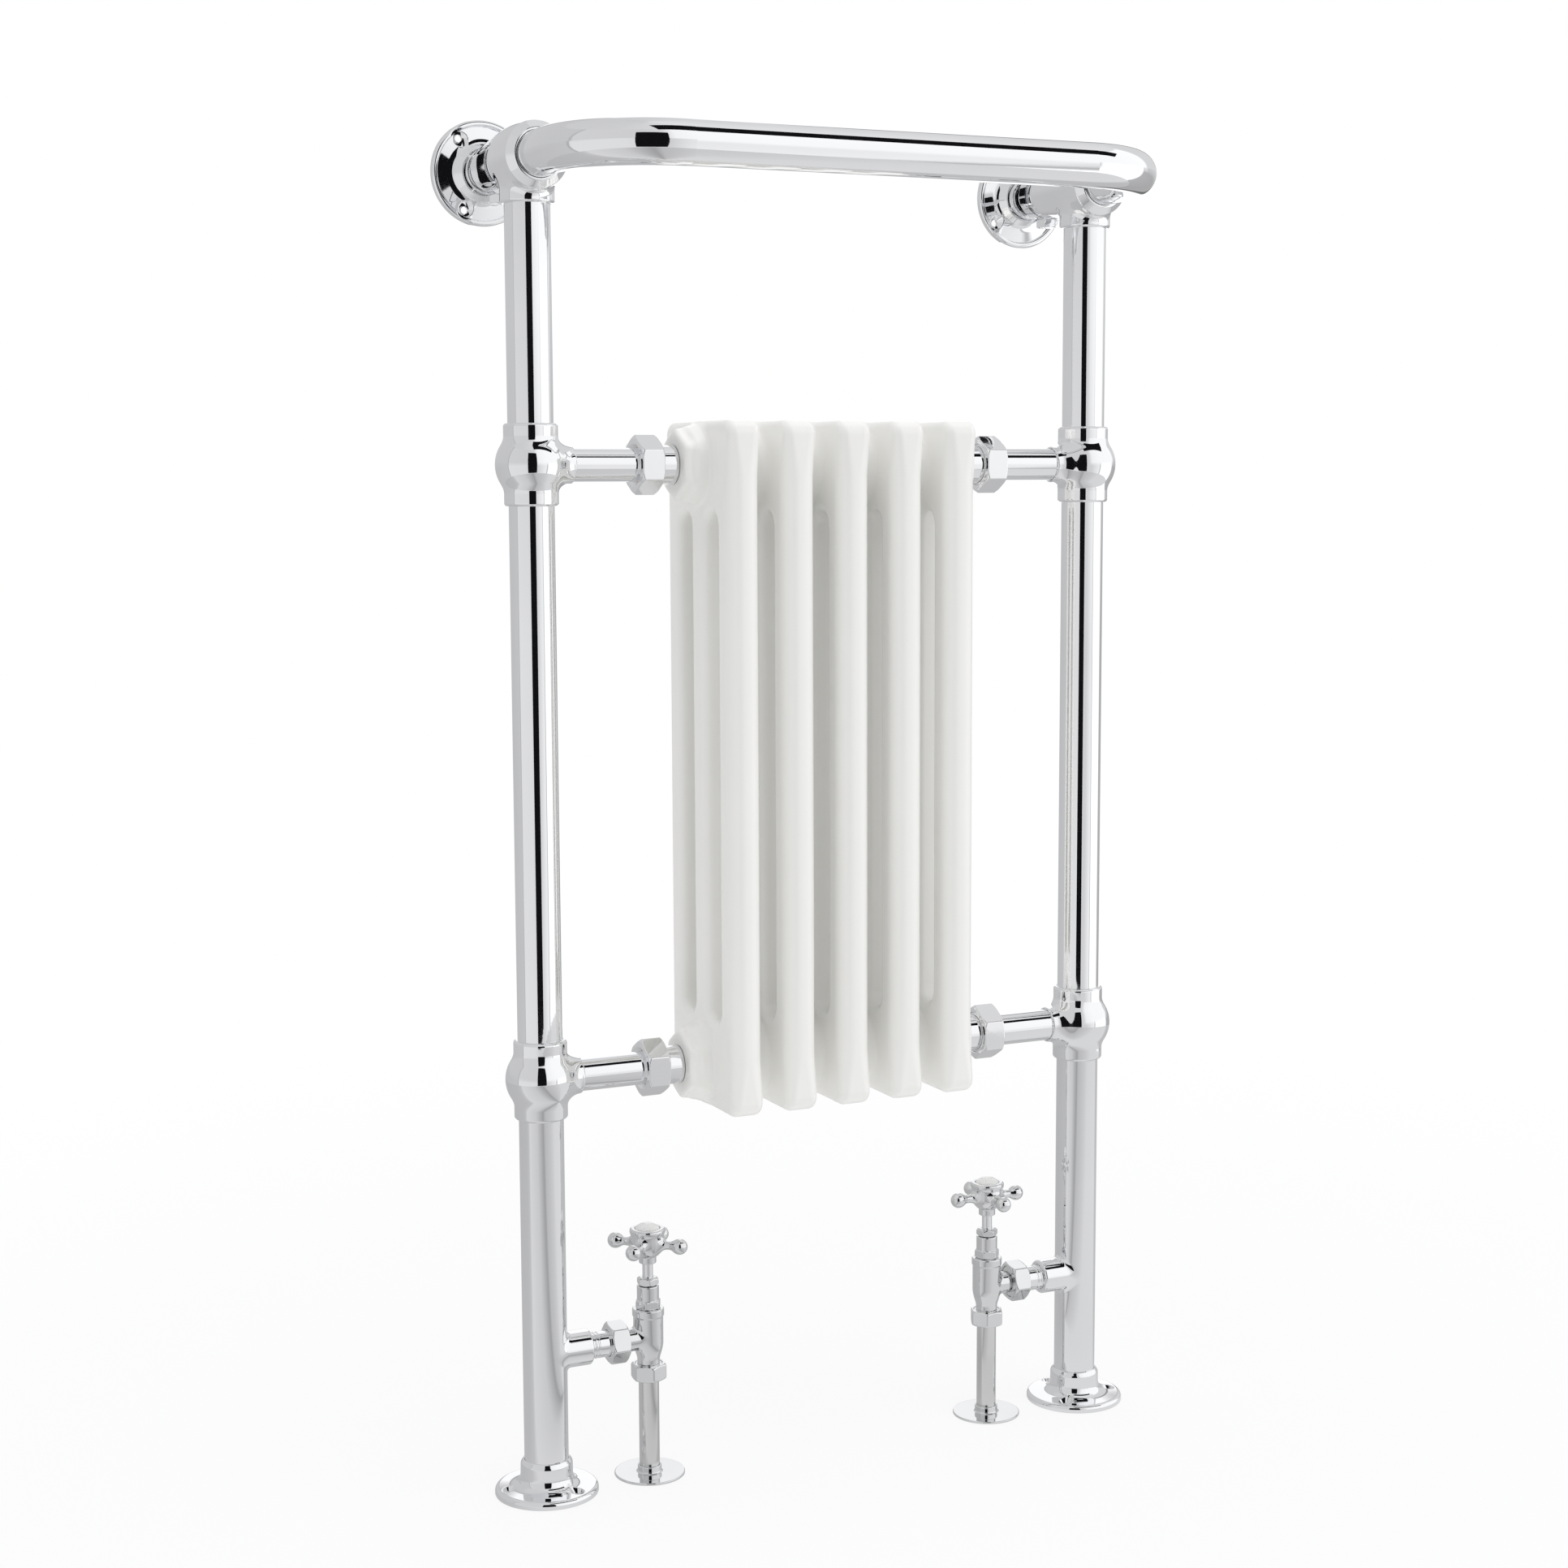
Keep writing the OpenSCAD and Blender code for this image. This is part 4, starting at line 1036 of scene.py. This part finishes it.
def shader_mix(tree, share, first, second):
    mix = tree.nodes.new("ShaderNodeMixShader")
    for i, link in enumerate((share, first, second)):
        tree.links.new(link, mix.inputs[i])
    return mix.outputs[0]


def make_floor():
    """Pale disc that fades into the white background."""
    radius, rings, sides = 1.75, 12, 96
    points, faces = [(0.0, 0.0, 0.0)], []
    for ring in range(1, rings + 1):
        for k in range(sides):
            a = 2 * math.pi * k / sides
            r = radius * ring / rings
            points.append((r * math.cos(a), r * math.sin(a), 0))
    for k in range(sides):
        faces.append((0, 1 + k, 1 + (k + 1) % sides))
        for ring in range(rings - 1):
            a, b = 1 + ring * sides + k, 1 + ring * sides + (k + 1) % sides
            faces.append((a, a + sides, b + sides, b))
    mesh = bpy.data.meshes.new("floor")
    mesh.from_pydata(points, [], faces)
    floor = bpy.data.objects.new("floor", mesh)
    bpy.context.scene.collection.objects.link(floor)
    material, tree, shader = new_material("floor")
    shader.inputs["Base Color"].default_value = (0.87, 0.868, 0.885, 1)
    shader.inputs["Roughness"].default_value = 0.7
    shader.inputs["Specular IOR Level"].default_value = 0.2
    coordinates = tree.nodes.new("ShaderNodeTexCoord").outputs["Object"]
    distance = tree.nodes.new("ShaderNodeVectorMath")
    distance.operation = "LENGTH"
    tree.links.new(coordinates, distance.inputs[0])
    fade = tree.nodes.new("ShaderNodeMapRange")
    fade.interpolation_type = "SMOOTHSTEP"
    for name, level in (("From Min", 0.3), ("From Max", radius - 0.2), ("To Min", 0.84),
                        ("To Max", 1.0)):
        fade.inputs[name].default_value = level
    tree.links.new(distance.outputs["Value"], fade.inputs["Value"])
    seen = shader_mix(tree, fade.outputs["Result"], shader.outputs[0],
                      tree.nodes.new("ShaderNodeEmission").outputs[0])
    # Painted light: to metal the floor is a glow from the FLOOR ring, with the camera's painted
    # shadow in it, instead of the lit floor.
    painted_floor_glow = tree.nodes.new("ShaderNodeEmission")
    ring = ring_of_light(tree, bearing_of(tree, coordinates)[0], FLOOR)
    tree.links.new(ring, painted_floor_glow.inputs["Color"])
    beyond = maths(tree, "GREATER_THAN", distance.outputs["Value"], FLOOR_EDGE)
    painted_floor_glow = shader_mix(tree, beyond, painted_floor_glow.outputs[0],
                          tree.nodes.new("ShaderNodeBsdfTransparent").outputs[0])
    glossy = tree.nodes.new("ShaderNodeLightPath").outputs["Is Glossy Ray"]
    tree.links.new(shader_mix(tree, glossy, seen, painted_floor_glow),
                   tree.nodes["Material Output"].inputs["Surface"])
    mesh.materials.append(material)


def make_studio():
    bpy.context.scene.view_settings.view_transform = "Standard"
    make_camera()
    make_world()
    make_flags()
    make_floor()
    make_light("overhead", (0.1, -0.5, 2.6), (0, 0, 0.3), 2.2, 22)


dress_cad_nodes()
make_ball_tees()
make_corner_tees()
make_foot_flanges()
make_wall_flanges()
make_lower_posts()
make_unions()
make_radiator()
make_valves()
make_studio()
